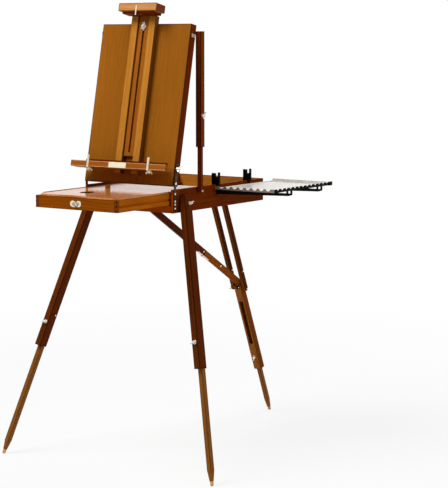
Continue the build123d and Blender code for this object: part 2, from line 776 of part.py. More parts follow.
def build_front_leg(side, forward, name):
    """A front leg: a channel that turns on its bolt, and a bar that slides in it."""
    frame = leg_frame(side, forward).location
    reach = (leg_pivot_height - foot_radius) / (math.cos(splay) * math.cos(math.radians(forward)))
    w, f, b = leg_width / 2, -leg_front_reach, leg_back_reach
    groove = leg_bar_width / 2 + sliding_gap
    bore = leg_bar_depth / 2 + sliding_gap
    crown = (b - f) / 2
    top_y, top_z = (b + f) / 2, leg_head - crown
    cheek = block(groove, w, f, b, -leg_channel_length, top_z)
    cheek += rod((groove, top_y, top_z), (w, top_y, top_z), crown)
    cheek = softened(cheek, Axis.X)
    hole = rod((-w - cut_past, 0, 0), (w + cut_past, 0, 0), leg_bolt_radius + running_gap)
    cheek -= hole
    screw_z = -leg_side_screw_reach
    other = mirrored(cheek)
    front = block(-groove, groove, f, -bore, -leg_channel_length, -leg_head_block)
    back = block(-groove, groove, bore, b, -leg_channel_length, -leg_head_block)
    head = block(-groove, groove, f, b, -leg_head_block, top_z)
    head += rod((-groove, top_y, top_z), (groove, top_y, top_z), crown)
    head -= hole
    screw = rod((-side * (groove + leg_side_screw_bite), 0, screw_z),
                (-side * (w + leg_side_screw_head), 0, screw_z), leg_side_screw_radius)
    bored = rod((-side * (groove - cut_past), 0, screw_z), (-side * (w + cut_past), 0, screw_z),
                leg_side_screw_radius + running_gap)
    cheek -= bored
    other -= bored
    clamp_z = -leg_clamp_reach
    washer_face = f - clamp_washer
    bored = rod((0, washer_face - cut_past, clamp_z), (0, 0, clamp_z), strut_bolt_radius + running_gap)
    front -= bored
    washer = rod((0, washer_face, clamp_z), (0, f, clamp_z), clamp_washer_radius) - bored
    bolt = rod((0, -bore, clamp_z), (0, washer_face - nut_height - clamp_bolt_show, clamp_z),
               strut_bolt_radius)
    nut = wing_nut((0, washer_face, clamp_z), (0, -1, 0), (1, 0, 0.4), strut_bolt_radius)
    plug_top = reach - foot_length + foot_radius
    bar_top = leg_bar_overlap - leg_channel_length
    bar_shape = tapered_bar(leg_bar_width, leg_bar_depth, bar_top, -plug_top, leg_tip, leg_taper)
    beside_wall = block(0, side * (half + leg_wall_clearance), 0, 2 * leg_from_front, box_bottom, box_top)
    channel = [frame * piece - beside_wall for piece in (cheek, other, front, back, head)]
    return {
        f"{name}_leg_channel": channel,
        f"{name}_leg_clamp": [frame * piece for piece in (washer, bolt, nut, screw)],
        f"{name}_leg_bar": frame * bar_shape,
        f"{name}_foot_plug": frame * foot_plug(reach),
    }


def build_rear_leg():
    """The rear leg: two rails, a grooved middle section forked round the brace, and a sliding bar."""
    frame = rear_plane.location
    g, w, d = rear_gap / 2, rear_rail_width, rear_rail_depth / 2
    bolt_z = -brace_meet - (brace_depth / 2 + rear_bolt_radius + seat_gap) / math.sin(brace_crossing())
    rail = block(g, g + w, -d, d, bolt_z, 0)
    for z in (0, bolt_z):
        rail += rod((g, 0, z), (g + w, 0, z), d)
    rail = softened(rail, Axis.X, (-1, 0))
    rail -= rod((g - cut_past, 0, 0), (g + w + cut_past, 0, 0), rear_axle_radius + running_gap)
    for z in (-rear_stub_reach, bolt_z):
        rail -= rod((g - cut_past, 0, z), (g + w + cut_past, 0, z), rear_bolt_radius + running_gap)
    m, e = rear_mid_width / 2, rear_mid_depth / 2
    groove = rear_bar_width / 2 + sliding_gap
    crossing = brace_crossing()
    crotch = -brace_meet - (brace_depth / 2 + rear_fork_clearance) / math.sin(crossing)
    slope = 1 / math.tan(crossing)
    cheek = softened(block(groove, m, -e, e, -rear_mid_bottom, -rear_mid_top), Axis.X)
    cheek -= rod((0, 0, bolt_z), (m + cut_past, 0, bolt_z), rear_bolt_radius + running_gap)
    top_block = extrude(Plane.YZ * Polygon((-e, -rear_slot_top), (e, -rear_slot_top), (e, crotch - e * slope),
                                           (-e, crotch + e * slope), align=None), groove, both=True)
    top_block -= rod((-groove, 0, bolt_z), (groove, 0, bolt_z), rear_bolt_radius + running_gap)
    spine_low = e - (rear_mid_depth - rear_bar_depth) / 2 + sliding_gap
    spine = block(-groove, groove, spine_low, e, -rear_mid_bottom, -rear_slot_top)
    cover = block(-groove, groove, -e, -e + rear_cover_thickness, -rear_mid_bottom, -rear_cover_top)
    cover -= rod((0, -e - cut_past, -rear_nut_reach), (0, 0, -rear_nut_reach),
                 strut_bolt_radius + running_gap)
    reach = (rear_pivot.Z - foot_radius) / math.cos(lean)
    plug_top = reach - foot_length + foot_radius
    bar_top = rear_bar_overlap - rear_mid_bottom
    bar = tapered_bar(rear_bar_width, rear_bar_depth, bar_top, -plug_top, leg_tip, leg_taper)
    side = g + w
    stub = rod((g - rear_stub_show, 0, -rear_stub_reach), (side + rear_stub_show, 0, -rear_stub_reach),
               rear_bolt_radius)
    joint_bolt = rod((-side - nut_height - bolt_show, 0, bolt_z), (side + bolt_show, 0, bolt_z),
                     rear_bolt_radius)
    joint_nut = wing_nut((-side, 0, bolt_z), (-1, 0, 0), (0, 1, 0.3), rear_bolt_radius)
    screw = rod((0, -rear_bar_depth / 2 - sliding_gap, -rear_nut_reach),
                (0, -e - nut_height - bolt_show, -rear_nut_reach), strut_bolt_radius)
    screw_nut = wing_nut((0, -e, -rear_nut_reach), (0, -1, 0), (0.3, 0, 1), strut_bolt_radius)
    parts = {
        "rear_leg_rails": [rail, mirrored(rail)],
        "rear_leg_middle": [cheek, mirrored(cheek), top_block, spine, cover],
        "rear_leg_bolts": [stub, mirrored(stub), joint_bolt, joint_nut, screw, screw_nut],
        "rear_leg_bar": bar,
        "rear_foot_plug": foot_plug(reach),
    }
    return {name: placed(frame, shape) for name, shape in parts.items()}


def brace_crossing():
    """The angle at which the brace crosses the rear leg."""
    return math.acos(brace_way.dot(rear_down))


def build_brace():
    """The two-part brace, hinged at its lower edge, that holds the rear leg out."""
    frame = brace_plane.location
    w, d = brace_width / 2, brace_depth / 2
    front = block(-w, w, -d, d, 0, brace_front_length - brace_break_gap / 2)
    front = softened(front + rod((-w, 0, 0), (w, 0, 0), d), Axis.X, (-1, 0))
    front -= rod((-w - cut_past, 0, 0), (w + cut_past, 0, 0), brace_axle_radius + running_gap)
    total = brace_front_length + brace_rear_length
    rear = block(-w, w, -d, d, brace_front_length + brace_break_gap / 2, total - d)
    rear = softened(rear + rod((-w, 0, total - d), (w, 0, total - d), d), Axis.X, (-1, 0))
    pin_y = d + brace_knuckle_radius
    pin_z = brace_front_length
    leaf_end = brace_knuckle_radius + brace_knuckle_gap
    under = d + brace_leaf_thickness
    third = brace_width / 3
    front_hinge = block(-w, w, d, under, pin_z - brace_leaf_length, pin_z - leaf_end)
    for x0 in (-w, w - third):
        front_hinge += rod((x0, pin_y, pin_z), (x0 + third, pin_y, pin_z), brace_knuckle_radius)
        front_hinge += block(x0, x0 + third, d, under, pin_z - leaf_end, pin_z - brace_break_gap)
    x0, x1 = -w + third + brace_knuckle_gap, w - third - brace_knuckle_gap
    rear_hinge = block(-w, w, d, under, pin_z + leaf_end, pin_z + brace_leaf_length)
    rear_hinge += rod((x0, pin_y, pin_z), (x1, pin_y, pin_z), brace_knuckle_radius)
    rear_hinge += block(x0, x1, d, under, pin_z + brace_break_gap, pin_z + leaf_end)
    bore = rod((-w, pin_y, pin_z), (w, pin_y, pin_z), brace_knuckle_pin + running_gap)
    front_hinge -= bore
    rear_hinge -= bore
    pin = rod((-w, pin_y, pin_z), (w, pin_y, pin_z), brace_knuckle_pin)
    parts = {
        "brace_front": front,
        "brace_front_leaf": [front_hinge, pin],
        "brace_rear": rear,
        "brace_rear_leaf": rear_hinge,
    }
    return {name: placed(frame, shape) for name, shape in parts.items()}


def toothed_rim(length, count_pitch, radius):
    """A thin rim along +X with rounded notches along its top."""
    rim = block(0, length, 0, tray_sheet, 0, tray_rim)
    count = int(length // count_pitch)
    margin = (length - count * count_pitch) / 2
    level = tray_rim + tray_notch_rise
    for n in range(count):
        x = margin + (n + 0.5) * count_pitch
        rim -= rod((x, -cut_past, level), (x, tray_sheet + cut_past, level), radius)
    return rim


def build_tray():
    """The notched side tray and the two arms that hook over the wall."""
    x0 = half + tray_from_wall
    x1 = x0 + tray_width
    y0, y1 = tray_from_front, tray_from_front + tray_length
    z0 = box_top - tray_floor_drop
    pan = block(x0, x1, y0, y1, z0, z0 + tray_sheet)
    pan += Pos(x0, y0, z0) * toothed_rim(tray_width, tray_tooth_pitch, tray_notch_radius)
    pan += Pos(x1, y0, z0) * Rot(0, 0, 90) * toothed_rim(tray_length, tray_tooth_pitch, tray_outer_notch_radius)
    pan += block(x0, x1, y1 - tray_sheet, y1, z0, z0 + tray_rim)
    pan += block(x0, x0 + tray_sheet, y0, y1, z0, z0 + tray_inner_rim)
    arm_top = z0
    xi = inner_half - seat_gap
    xo = half + seat_gap
    x_out = xo + clip_outside
    x_notch = x_out - clip_post
    tip = half + arm_reach
    root_low = arm_top - arm_root_height
    tip_low = arm_top - arm_tip_height
    prong_top = tip_low + arm_hook_height
    second = tip - arm_prong - arm_hook_gap
    profile = Polygon(
        (xi - clip_inside, box_top - clip_drop),
        (xi, box_top - clip_drop),
        (xi, box_top + seat_gap),
        (xo, box_top + seat_gap),
        (xo, root_low),
        (tip - arm_hook_gap, tip_low),
        (tip, tip_low + arm_tip_rise),
        (tip, prong_top),
        (tip - arm_prong, prong_top),
        (tip - arm_prong, arm_top),
        (second, arm_top),
        (second, prong_top),
        (second - arm_prong, prong_top),
        (second - arm_prong, arm_top),
        (x0, arm_top),
        (x0, z0 + tray_rim + clip_lift),
        (x_out, z0 + tray_rim + clip_lift),
        (x_out, box_top + clip_rise),
        (x_notch, box_top + clip_rise),
        (x_notch, box_top + clip_bridge),
        (x_notch - clip_notch, box_top + clip_bridge),
        (x_notch - clip_notch, box_top + clip_rise - clip_step),
        (xi - clip_inside, box_top + clip_rise - clip_step),
        align=None,
    )
    arms = []
    for y in arm_positions:
        arm = extrude(Plane.XZ.offset(-y) * profile, arm_thickness / 2, both=True)
        arms.append(arm)
    return {"tray_pan": pan, "tray_arms": arms}


def placed(location, shape):
    """A shape, or each shape of a list, moved to its place."""
    if isinstance(shape, list):
        return [location * piece for piece in shape]
    return location * shape


def flat(shapes):
    """Every solid of a node."""
    listed = shapes if isinstance(shapes, list) else [shapes]
    return [solid for shape in listed for solid in shape.solids()]


def build_all():
    """Every node of the easel, before the origin is set."""
    nodes = {}
    nodes.update(build_box())
    nodes.update(build_hinges())
    nodes.update(build_drawer())
    nodes.update(build_palette())
    for group in (build_lid(), build_mast(), build_shelf()):
        nodes.update({name: placed(lid_plane.location, shape) for name, shape in group.items()})
    nodes.update(build_struts())
    for side, forward, name in ((-1, left_leg_forward, "left"), (1, right_leg_forward, "right")):
        nodes.update(build_front_leg(side, forward, name))
    nodes.update(build_rear_leg())
    nodes.update(build_brace())
    nodes.update(build_tray())
    return {name: flat(shape) for name, shape in nodes.items()}


def bottom_centre(nodes):
    """The middle of the whole easel's box, on the floor."""
    boxes = [solid.bounding_box() for solids in nodes.values() for solid in solids]
    low_x, high_x = min(box.min.X for box in boxes), max(box.max.X for box in boxes)
    low_y, high_y = min(box.min.Y for box in boxes), max(box.max.Y for box in boxes)
    return Vector((low_x + high_x) / 2, (low_y + high_y) / 2, min(box.min.Z for box in boxes))


if __name__ == "__main__":
    easel = build_all()
    shift = Location(bottom_centre(easel) * -1)
    os.makedirs("parts", exist_ok=True)
    for name, solids in easel.items():
        moved = [shift * solid for solid in solids]
        export_step(moved[0] if len(moved) == 1 else Compound(children=moved), f"parts/{name}.step")
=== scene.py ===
import json
import logging
import math
from dataclasses import dataclass, field
from enum import Enum
from typing import Any, Optional, Sequence, Union

import bmesh
import bpy
import numpy as np
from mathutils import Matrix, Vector


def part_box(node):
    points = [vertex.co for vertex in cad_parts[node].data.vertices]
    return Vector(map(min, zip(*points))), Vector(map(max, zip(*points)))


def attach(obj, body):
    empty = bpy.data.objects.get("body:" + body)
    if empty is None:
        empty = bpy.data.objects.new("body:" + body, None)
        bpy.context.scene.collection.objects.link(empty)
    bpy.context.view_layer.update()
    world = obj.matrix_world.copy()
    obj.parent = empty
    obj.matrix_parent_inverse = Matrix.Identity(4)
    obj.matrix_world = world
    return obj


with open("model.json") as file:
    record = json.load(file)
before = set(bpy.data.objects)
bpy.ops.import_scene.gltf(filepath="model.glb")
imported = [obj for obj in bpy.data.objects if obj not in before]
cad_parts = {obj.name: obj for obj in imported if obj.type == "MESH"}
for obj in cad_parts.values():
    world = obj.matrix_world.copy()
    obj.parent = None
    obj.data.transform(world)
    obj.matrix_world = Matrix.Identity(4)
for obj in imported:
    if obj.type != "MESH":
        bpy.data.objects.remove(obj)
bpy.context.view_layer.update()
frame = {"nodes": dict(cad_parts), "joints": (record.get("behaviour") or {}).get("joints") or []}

log = logging.getLogger("easel")

MM = 0.001
Colour = tuple[float, float, float]
Number = Union[float, "Socket"]
Inputs = dict[Union[int, str], Any]
RIGHT = Vector((1.0, 0.0, 0.0)).freeze()
BACK = Vector((0.0, 1.0, 0.0)).freeze()
AHEAD = Vector((0.0, -1.0, 0.0)).freeze()
UP = Vector((0.0, 0.0, 1.0)).freeze()


class Grain(Enum):
    """How the figure of a board runs."""

    ALONG = "along the board's longest side"
    UPRIGHT = "along the canvas panel's rise"
    ACROSS = "from wall to wall"
    DEEP = "from front to back"


class Layout(Enum):
    """How many boards a CAD node holds, as the dark line painted along its edges needs to know."""

    ONE = "one straight board or box section"
    PAIR = "two boards, one each side of the middle plane"
    SEVERAL = "boards that have no common outline"


class Socket:
    """One output of a shader node, with arithmetic that adds Math nodes."""

    def __init__(self, graph: "ShaderGraph", output: bpy.types.NodeSocket) -> None:
        """Keeps the graph and the node output that this object stands for."""
        self.graph = graph
        self.output = output

    def _math(self, operation: str, *terms: Number) -> "Socket":
        """Adds one Math node over values or sockets, in order, and gives its result."""
        node = self.graph.node("ShaderNodeMath", {"operation": operation}, dict(enumerate(terms)))
        return Socket(self.graph, node.outputs[0])

    def __add__(self, other: Number) -> "Socket":
        """Sum."""
        return self._math("ADD", self, other)

    __radd__ = __add__

    def __sub__(self, other: Number) -> "Socket":
        """Difference."""
        return self._math("SUBTRACT", self, other)

    def __rsub__(self, other: Number) -> "Socket":
        """Difference from a number."""
        return self._math("SUBTRACT", other, self)

    def __mul__(self, other: Number) -> "Socket":
        """Product."""
        return self._math("MULTIPLY", self, other)

    __rmul__ = __mul__

    def __truediv__(self, other: Number) -> "Socket":
        """Quotient."""
        return self._math("DIVIDE", self, other)

    def __lt__(self, other: Number) -> "Socket":
        """1 where this is lower, otherwise 0."""
        return self._math("LESS_THAN", self, other)

    def __abs__(self) -> "Socket":
        """Size without its sign."""
        return self._math("ABSOLUTE", self)

    def least(self, other: Number) -> "Socket":
        """The lower of two values."""
        return self._math("MINIMUM", self, other)

    def most(self, other: Number) -> "Socket":
        """The higher of two values."""
        return self._math("MAXIMUM", self, other)

    def clamped(self) -> "Socket":
        """The value held between 0 and 1."""
        return self.graph.convert("ShaderNodeClamp", {}, {"Value": self})

    def ramp(self, low: float, high: float) -> "Socket":
        """A smooth step that starts to rise from 0 at low and reaches 1 at high."""
        settings = {"interpolation_type": "SMOOTHSTEP"}
        return self.graph.convert("ShaderNodeMapRange", settings, {"Value": self, "From Min": low, "From Max": high})


class ShaderGraph:
    """The node tree of a material or a world, built one node at a time."""

    def __init__(self, owner: Union[bpy.types.Material, bpy.types.World],
                 end: str = "ShaderNodeOutputMaterial") -> None:
        """Empties the owner's node tree, down to an output node.

        Args:
            owner: The material or world.
            end: The type of its output node.
        """
        owner.use_nodes = True
        self.owner = owner
        self.tree = owner.node_tree
        self.tree.nodes.clear()
        self.end = self.tree.nodes.new(end)

    @staticmethod
    def _input(node: bpy.types.Node, key: Union[int, str]) -> bpy.types.NodeSocket:
        """Finds an input by its index, identifier or name."""
        if isinstance(key, int):
            return node.inputs[key]
        for socket in node.inputs:
            if socket.identifier == key or (socket.name == key and socket.enabled):
                return socket
        raise KeyError(f"{node.bl_idname} has no input {key}")

    def node(self, kind: str, settings: dict[str, Any], inputs: Inputs) -> bpy.types.Node:
        """Adds a node, sets it up, then fills its inputs.

        Args:
            kind: The node's type.
            settings: Its own settings.
            inputs: A value or a link for each input that is named.

        Returns:
            The new node.
        """
        made = self.tree.nodes.new(kind)
        for key, value in settings.items():
            setattr(made, key, value)
        for key, value in inputs.items():
            target = self._input(made, key)
            if isinstance(value, Socket):
                self.tree.links.new(value.output, target)
            elif isinstance(value, tuple) and len(value) == 3 and target.type == "RGBA":
                target.default_value = (*value, 1.0)
            else:
                target.default_value = value
        return made

    def convert(self, kind: str, settings: dict[str, Any], inputs: Inputs, output: Union[int, str] = 0) -> Socket:
        """Adds a node and gives one of its outputs, by its place or name."""
        return Socket(self, self.node(kind, settings, inputs).outputs[output])

    def blend(self, share: Number, first: Any, second: Any, kind: str = "Color") -> Socket:
        """Mixes two colours or, of the kind Vector, two vectors by the share of the second."""
        node = self.node("ShaderNodeMix", {"data_type": "RGBA" if kind == "Color" else "VECTOR"},
                         {"Factor_Float": share, f"A_{kind}": first, f"B_{kind}": second})
        return Socket(self, next(o for o in node.outputs if o.identifier == f"Result_{kind}"))

    def stretched(self, vector: Socket, scale: Colour) -> Socket:
        """A vector multiplied by a constant in each direction."""
        return self.convert("ShaderNodeVectorMath", {"operation": "MULTIPLY"}, {0: vector, 1: scale})

    def noise(self, vector: Socket, detail: float = 2.0, roughness: float = 0.5) -> Socket:
        """Noise of scale 1 at a place that is already scaled."""
        inputs = {"Vector": vector, "Scale": 1.0, "Detail": detail, "Roughness": roughness}
        return self.convert("ShaderNodeTexNoise", {}, inputs)

    def place(self) -> Socket:
        """The point on the piece, in metres in the shared frame at rest."""
        return self.convert("ShaderNodeTexCoord", {}, {}, "Object")

    def part(self, vector: Socket, axis: str) -> Socket:
        """One component, X, Y or Z, of a vector."""
        return self.convert("ShaderNodeSeparateXYZ", {}, {0: vector}, axis)

    def bump(self, height: Socket, strength: float, distance: float) -> Socket:
        """A normal tilted by a height."""
        return self.convert("ShaderNodeBump", {}, {"Height": height, "Strength": strength, "Distance": distance},
                            "Normal")

    def finish(self, kind: str, inputs: Inputs) -> None:
        """Adds the last node and links it to the output."""
        self.tree.links.new(self.node(kind, {}, inputs).outputs[0], self.end.inputs[0])

    def surface(self, **inputs: Any) -> bpy.types.Material:
        """Ends the graph in a Principled shader, whose inputs have underscores for spaces, and gives the material."""
        self.finish("ShaderNodeBsdfPrincipled", {k.replace("_", " "): v for k, v in inputs.items()})
        return self.owner


@dataclass(frozen=True)
class Outline:
    """The straight-sided outline of a board, for the dark line painted along its edges.

    Attributes:
        ways: Unit vectors along its three sides.
        middles: Where its middle lies along each of them.
        halves: Half its size along each of them.
        folded: Whether a second board mirrors it in the middle plane.
    """

    ways: tuple[Colour, ...]
    middles: tuple[float, ...]
    halves: tuple[float, ...]
    folded: bool

    SQUARE = 0.02  # two faces are square to each other where their normals' product is below this

    @classmethod
    def of(cls, node: str, folded: bool) -> "Outline":
        """Measures a CAD node.

        Args:
            node: The node's name.
            folded: Whether it holds two boards that mirror each other.

        Returns:
            The outline of the board, or of the one at the right.
        """
        mesh = frame["nodes"][node].data
        points = np.array([v.co for v in mesh.vertices], float)
        faces = [f for f in mesh.polygons if not folded or f.center.x > middle_x()]
        if folded:
            points = points[points[:, 0] > middle_x()]
        normals = np.array([f.normal for f in faces], float)
        areas = np.array([f.area for f in faces])
        first = normals[int(np.argmax(areas))]
        level = np.abs(normals @ first) < cls.SQUARE
        second = normals[level][int(np.argmax(areas[level]))]
        ways = (first, second, np.cross(first, second))
        spans = [(float((points @ way).min()), float((points @ way).max())) for way in ways]
        return cls(tuple(tuple(float(c) for c in way) for way in ways), tuple((a + b) / 2 for a, b in spans),
                   tuple((b - a) / 2 for a, b in spans), folded)

    def edge_gap(self, graph: ShaderGraph) -> Socket:
        """How far the nearest edge is over the surface, in metres."""
        spot = graph.place()
        if self.folded:
            x = abs(graph.part(spot, "X") - middle_x()) + middle_x()
            spot = graph.convert("ShaderNodeCombineXYZ", {},
                                 {0: x, 1: graph.part(spot, "Y"), 2: graph.part(spot, "Z")})
        gaps = []
        for way, middle, half in zip(self.ways, self.middles, self.halves):
            along = graph.convert("ShaderNodeVectorMath", {"operation": "DOT_PRODUCT"}, {0: spot, 1: way}, "Value")
            gaps.append(half - abs(along - middle))
        first, second, third = gaps
        return first.least(second).most(first.most(second).least(third))


@dataclass(frozen=True)
class Stain:
    """A stained and varnished wood.

    Attributes:
        name: The finish's name.
        dark: The colour of the darkest grain lines.
        light: The colour between them.
        figure: How strongly the growth rings show, from 0 to 1.
        ring: The width of a growth ring, in metres.
        pores: How strongly the short dark pores show, from 0 to 1.
        shine: How strongly the surface mirrors, where 0.5 is bare varnish.
        roughness: The varnish's roughness.
        edge: How far the faces that look along X take the side tone, from 0 to 1: a painted shade where that tone is
            darker than the wood, a painted light where it is lighter, as on the struts.
        side_shading_tone: The colour painted on those faces for their shading.
        worn: How much darker the board's edges are painted, from 0 to 1: a painted dark outline, partly the shade in
            the gaps there and partly wear.
        dark_outline_width: How wide that dark line is, in metres.
    """

    name: str
    dark: Colour
    light: Colour
    figure: float = 0.5
    ring: float = 0.012
    pores: float = 0.35
    shine: float = 0.05
    roughness: float = 0.38
    edge: float = 0.0
    side_shading_tone: Colour = (0.06, 0.012, 0.001)
    worn: float = 0.6
    dark_outline_width: float = 0.0024

    # How many times a metre each figure comes back, twice across the grain and then along it
    SWAYS = (9.0, 9.0, 2.2)
    STREAKS = (230.0, 230.0, 5.0)
    FIBRES = (900.0, 900.0, 22.0)
    PORES = (1300.0, 1300.0, 60.0)
    CLOUDS = (7.0, 7.0, 2.5)
    # Where the figure starts, and how far a seed of 1 moves it, in metres
    STARTS = (0.0, 0.11, 0.0)
    SHIFTS = (0.37, 0.23, 0.41)
    # How much of the light colour a plain spot has, and how far each figure moves that
    PLAIN, RING_PULL, STREAK_PULL, FIBRE_PULL, CLOUD_PULL = 0.62, 0.42, 0.9, 0.45, 0.7
    # How far the sway bends the rings, in rings, and how much they lean
    SWAY_PULL, LEAN = 7.0, 0.35

    def material(self, name: str, along: Vector, seed: float, outline: Optional[Outline] = None,
                 cross_within: float = 0.0) -> bpy.types.Material:
        """Makes the finish for one piece.

        Args:
            name: The piece's name.
            along: The direction of its grain.
            seed: Shifts the figure, so that no two boards match.
            outline: The board's outline, along whose edges a dark line is painted, partly shade and partly wear.
            cross_within: Where set, the grain runs across, along X, within this distance of the middle plane.

        Returns:
            The material.
        """
        graph = ShaderGraph(bpy.data.materials.new(f"{self.name}_{name}"))
        offset = tuple(shift * seed + start for shift, start in zip(self.SHIFTS, self.STARTS))

        def laid(way: Vector) -> Socket:
            """The place, turned so that a direction runs along Z."""
            turn = tuple(way.normalized().rotation_difference(UP).to_euler("XYZ"))
            return graph.convert("ShaderNodeMapping", {},
                                 {"Vector": graph.place(), "Rotation": turn, "Location": offset})

        spot = laid(along)
        if cross_within:
            inside = abs(graph.part(graph.place(), "X") - middle_x()) < cross_within
            spot = graph.blend(inside, spot, laid(RIGHT), "Vector")
        return self._finish(graph, spot, outline)

    def _finish(self, graph: ShaderGraph, spot: Socket, outline: Optional[Outline]) -> bpy.types.Material:
        """Builds colour, roughness and relief from the place, whose Z runs along the grain."""
        per_ring = 1.0 / self.ring
        sway = graph.noise(graph.stretched(spot, self.SWAYS), 2.0)
        rings = (graph.part(spot, "X") * per_ring + graph.part(spot, "Y") * (self.LEAN * per_ring)
                 + sway * self.SWAY_PULL)
        wave = graph.convert("ShaderNodeMath", {"operation": "FRACT"}, {0: rings})
        band = wave.ramp(0.0, 0.8) * (1.0 - wave.ramp(0.82, 1.0))
        streak = graph.noise(graph.stretched(spot, self.STREAKS), 3.0, 0.6)
        fibre = graph.noise(graph.stretched(spot, self.FIBRES), 2.0, 0.6)
        pore = graph.noise(graph.stretched(spot, self.PORES), 1.0).ramp(0.60, 0.72)
        cloud = graph.noise(graph.stretched(spot, self.CLOUDS), 2.0)
        share = (self.PLAIN - band * (self.RING_PULL * self.figure) + (streak - 0.5) * self.STREAK_PULL
                 + (fibre - 0.5) * self.FIBRE_PULL + (cloud - 0.5) * self.CLOUD_PULL).clamped()
        colour = graph.blend(share, self.dark, self.light)
        colour = graph.blend(pore * (0.55 * self.pores), colour, tuple(0.35 * c for c in self.dark))
        # Painted shade and light: faces that look along X take the side tone, as the light falls on them.
        if self.edge:
            normal = graph.convert("ShaderNodeTexCoord", {}, {}, "Normal")
            sideways = abs(graph.part(normal, "X")).ramp(0.5, 0.9)
            colour = graph.blend(sideways * self.edge, colour, self.side_shading_tone)
        # Painted dark outline along the board's edges: partly the shade in the gaps there, partly wear.
        if outline:
            line = 1.0 - outline.edge_gap(graph).ramp(0.3 * self.dark_outline_width, self.dark_outline_width)
            share = (line * (self.worn * 0.7 + streak * (self.worn * 0.6))).clamped()
            colour = graph.blend(share, colour, tuple(0.3 * c for c in self.dark))
        rough = (self.roughness + (fibre - 0.5) * 0.18 + pore * 0.12).clamped()
        height = fibre * 0.6 + streak * 0.4 - pore * 0.5
        return graph.surface(Base_Color=colour, Roughness=rough, Normal=graph.bump(height, 0.12, 0.0004),
                             Specular_IOR_Level=self.shine)


@dataclass(frozen=True)
class Metal:
    """A plated or bare metal with fine wear.

    Attributes:
        name: The finish's name.
        colour: The clean metal's colour.
        tarnish: The colour of its dull patches.
        roughness: Its roughness.
        scale: How many wear marks there are per metre.
        share: How metallic it looks under its lacquer, from 0 to 1.
        front_reflection_tone: The colour of its front edge, where it has one: a painted shade and reflection, a dull
            brownish grey.
    """

    name: str
    colour: Colour
    tarnish: Colour
    roughness: float
    scale: float = 260.0
    share: float = 1.0
    front_reflection_tone: Colour = (0.25, 0.18, 0.135)

    FINER = 9.0  # a scratch is this much narrower than a dull patch

    def material(self, name: str, front_edge: Optional[float] = None) -> bpy.types.Material:
        """Makes the finish for one piece.

        Args:
            name: The piece's name.
            front_edge: Where set, what lies further to the front than this takes the painted shade and reflection of
                the front edge.

        Returns:
            The material.
        """
        graph = ShaderGraph(bpy.data.materials.new(f"{self.name}_{name}"))
        spot = graph.place()
        patch = graph.noise(graph.stretched(spot, (self.scale,) * 3), 3.0, 0.6)
        fine = self.scale * self.FINER
        scratch = graph.noise(graph.stretched(spot, (fine, fine, self.scale)), 2.0)
        dull = (patch.ramp(0.5, 0.85) * 0.6 + scratch.ramp(0.6, 0.8) * 0.25).clamped()
        rough = (self.roughness + dull * 0.25 + (scratch - 0.5) * 0.08).clamped()
        colour = graph.blend(dull, self.colour, self.tarnish)
        # Painted shade and reflection on the front edge.
        if front_edge is not None:
            colour = graph.blend(graph.part(spot, "Y") < front_edge, colour, self.front_reflection_tone)
        return graph.surface(Base_Color=colour, Roughness=rough, Metallic=self.share,
                             Normal=graph.bump(scratch, 0.06, 0.0002))


@dataclass(frozen=True)
class Moulded:
    """A moulded plastic or rubber.

    Attributes:
        name: The finish's name.
        colour: Its colour.
        worn: The colour of its rubbed spots.
        roughness: Its roughness.
        shine: How strongly it mirrors, where 0.5 is bare plastic.
    """

    name: str
    colour: Colour
    worn: Colour
    roughness: float
    shine: float = 0.3

    PEBBLES = (1500.0,) * 3  # how many a metre, each way
    RUBBED = (90.0,) * 3

    def material(self, name: str) -> bpy.types.Material:
        """Makes the finish for the piece of that name."""
        graph = ShaderGraph(bpy.data.materials.new(f"{self.name}_{name}"))
        spot = graph.place()
        pebble = graph.noise(graph.stretched(spot, self.PEBBLES), 2.0)
        rubbed = graph.noise(graph.stretched(spot, self.RUBBED), 3.0).ramp(0.55, 0.8)
        rough = (self.roughness + (pebble - 0.5) * 0.2).clamped()
        return graph.surface(Base_Color=graph.blend(rubbed, self.colour, self.worn), Roughness=rough,
                             Specular_IOR_Level=self.shine, Normal=graph.bump(pebble, 0.15, 0.0003))


# Where edge is set, a stain paints shade on its faces that look along X, and painted light on the struts.
PANEL = Stain("panel", (0.180, 0.054, 0.0024), (0.36, 0.122, 0.0095), figure=0.35, ring=0.009, pores=0.6,
              shine=0.02, worn=1.0, dark_outline_width=0.0036)
RAIL = Stain("rail", (0.30, 0.105, 0.008), (0.55, 0.220, 0.028), figure=0.35, ring=0.016, edge=0.8, worn=0.8)
# The head's light tone is partly a painted highlight on its front.
HEAD = Stain("head", (0.345, 0.132, 0.030), (0.64, 0.295, 0.100), figure=0.3, ring=0.016, edge=0.85,
             shine=0.02, side_shading_tone=(0.14, 0.018, 0.0008), worn=1.0, dark_outline_width=0.0034)
FRONT = Stain("front", (0.155, 0.032, 0.001), (0.35, 0.088, 0.0025), figure=0.5, shine=0.006, worn=0.8)
BOX = Stain("box", (0.20, 0.028, 0.0006), (0.46, 0.076, 0.0015), figure=0.55, shine=0.006, edge=0.6,
            side_shading_tone=(0.022, 0.002, 0.0001))
SIDE = Stain("side", (0.26, 0.056, 0.0015), (0.56, 0.145, 0.005), figure=0.5, shine=0.01)
FRAME = Stain("frame", (0.090, 0.010, 0.0006), (0.22, 0.030, 0.002), figure=0.5, shine=0.01, worn=0.8)
LEDGE = Stain("ledge", (0.20, 0.055, 0.003), (0.42, 0.130, 0.012), figure=0.4)
LEG = Stain("leg", (0.055, 0.010, 0.0008), (0.160, 0.034, 0.003), figure=0.45, ring=0.014, shine=0.01, edge=0.5,
            side_shading_tone=(0.095, 0.013, 0.0005), worn=0.9, dark_outline_width=0.0034)
STRUT = Stain("strut", (0.055, 0.007, 0.0005), (0.150, 0.022, 0.002), figure=0.45, ring=0.014, shine=0.01, edge=0.8,
              side_shading_tone=(0.18, 0.037, 0.001), worn=0.9, dark_outline_width=0.0030)
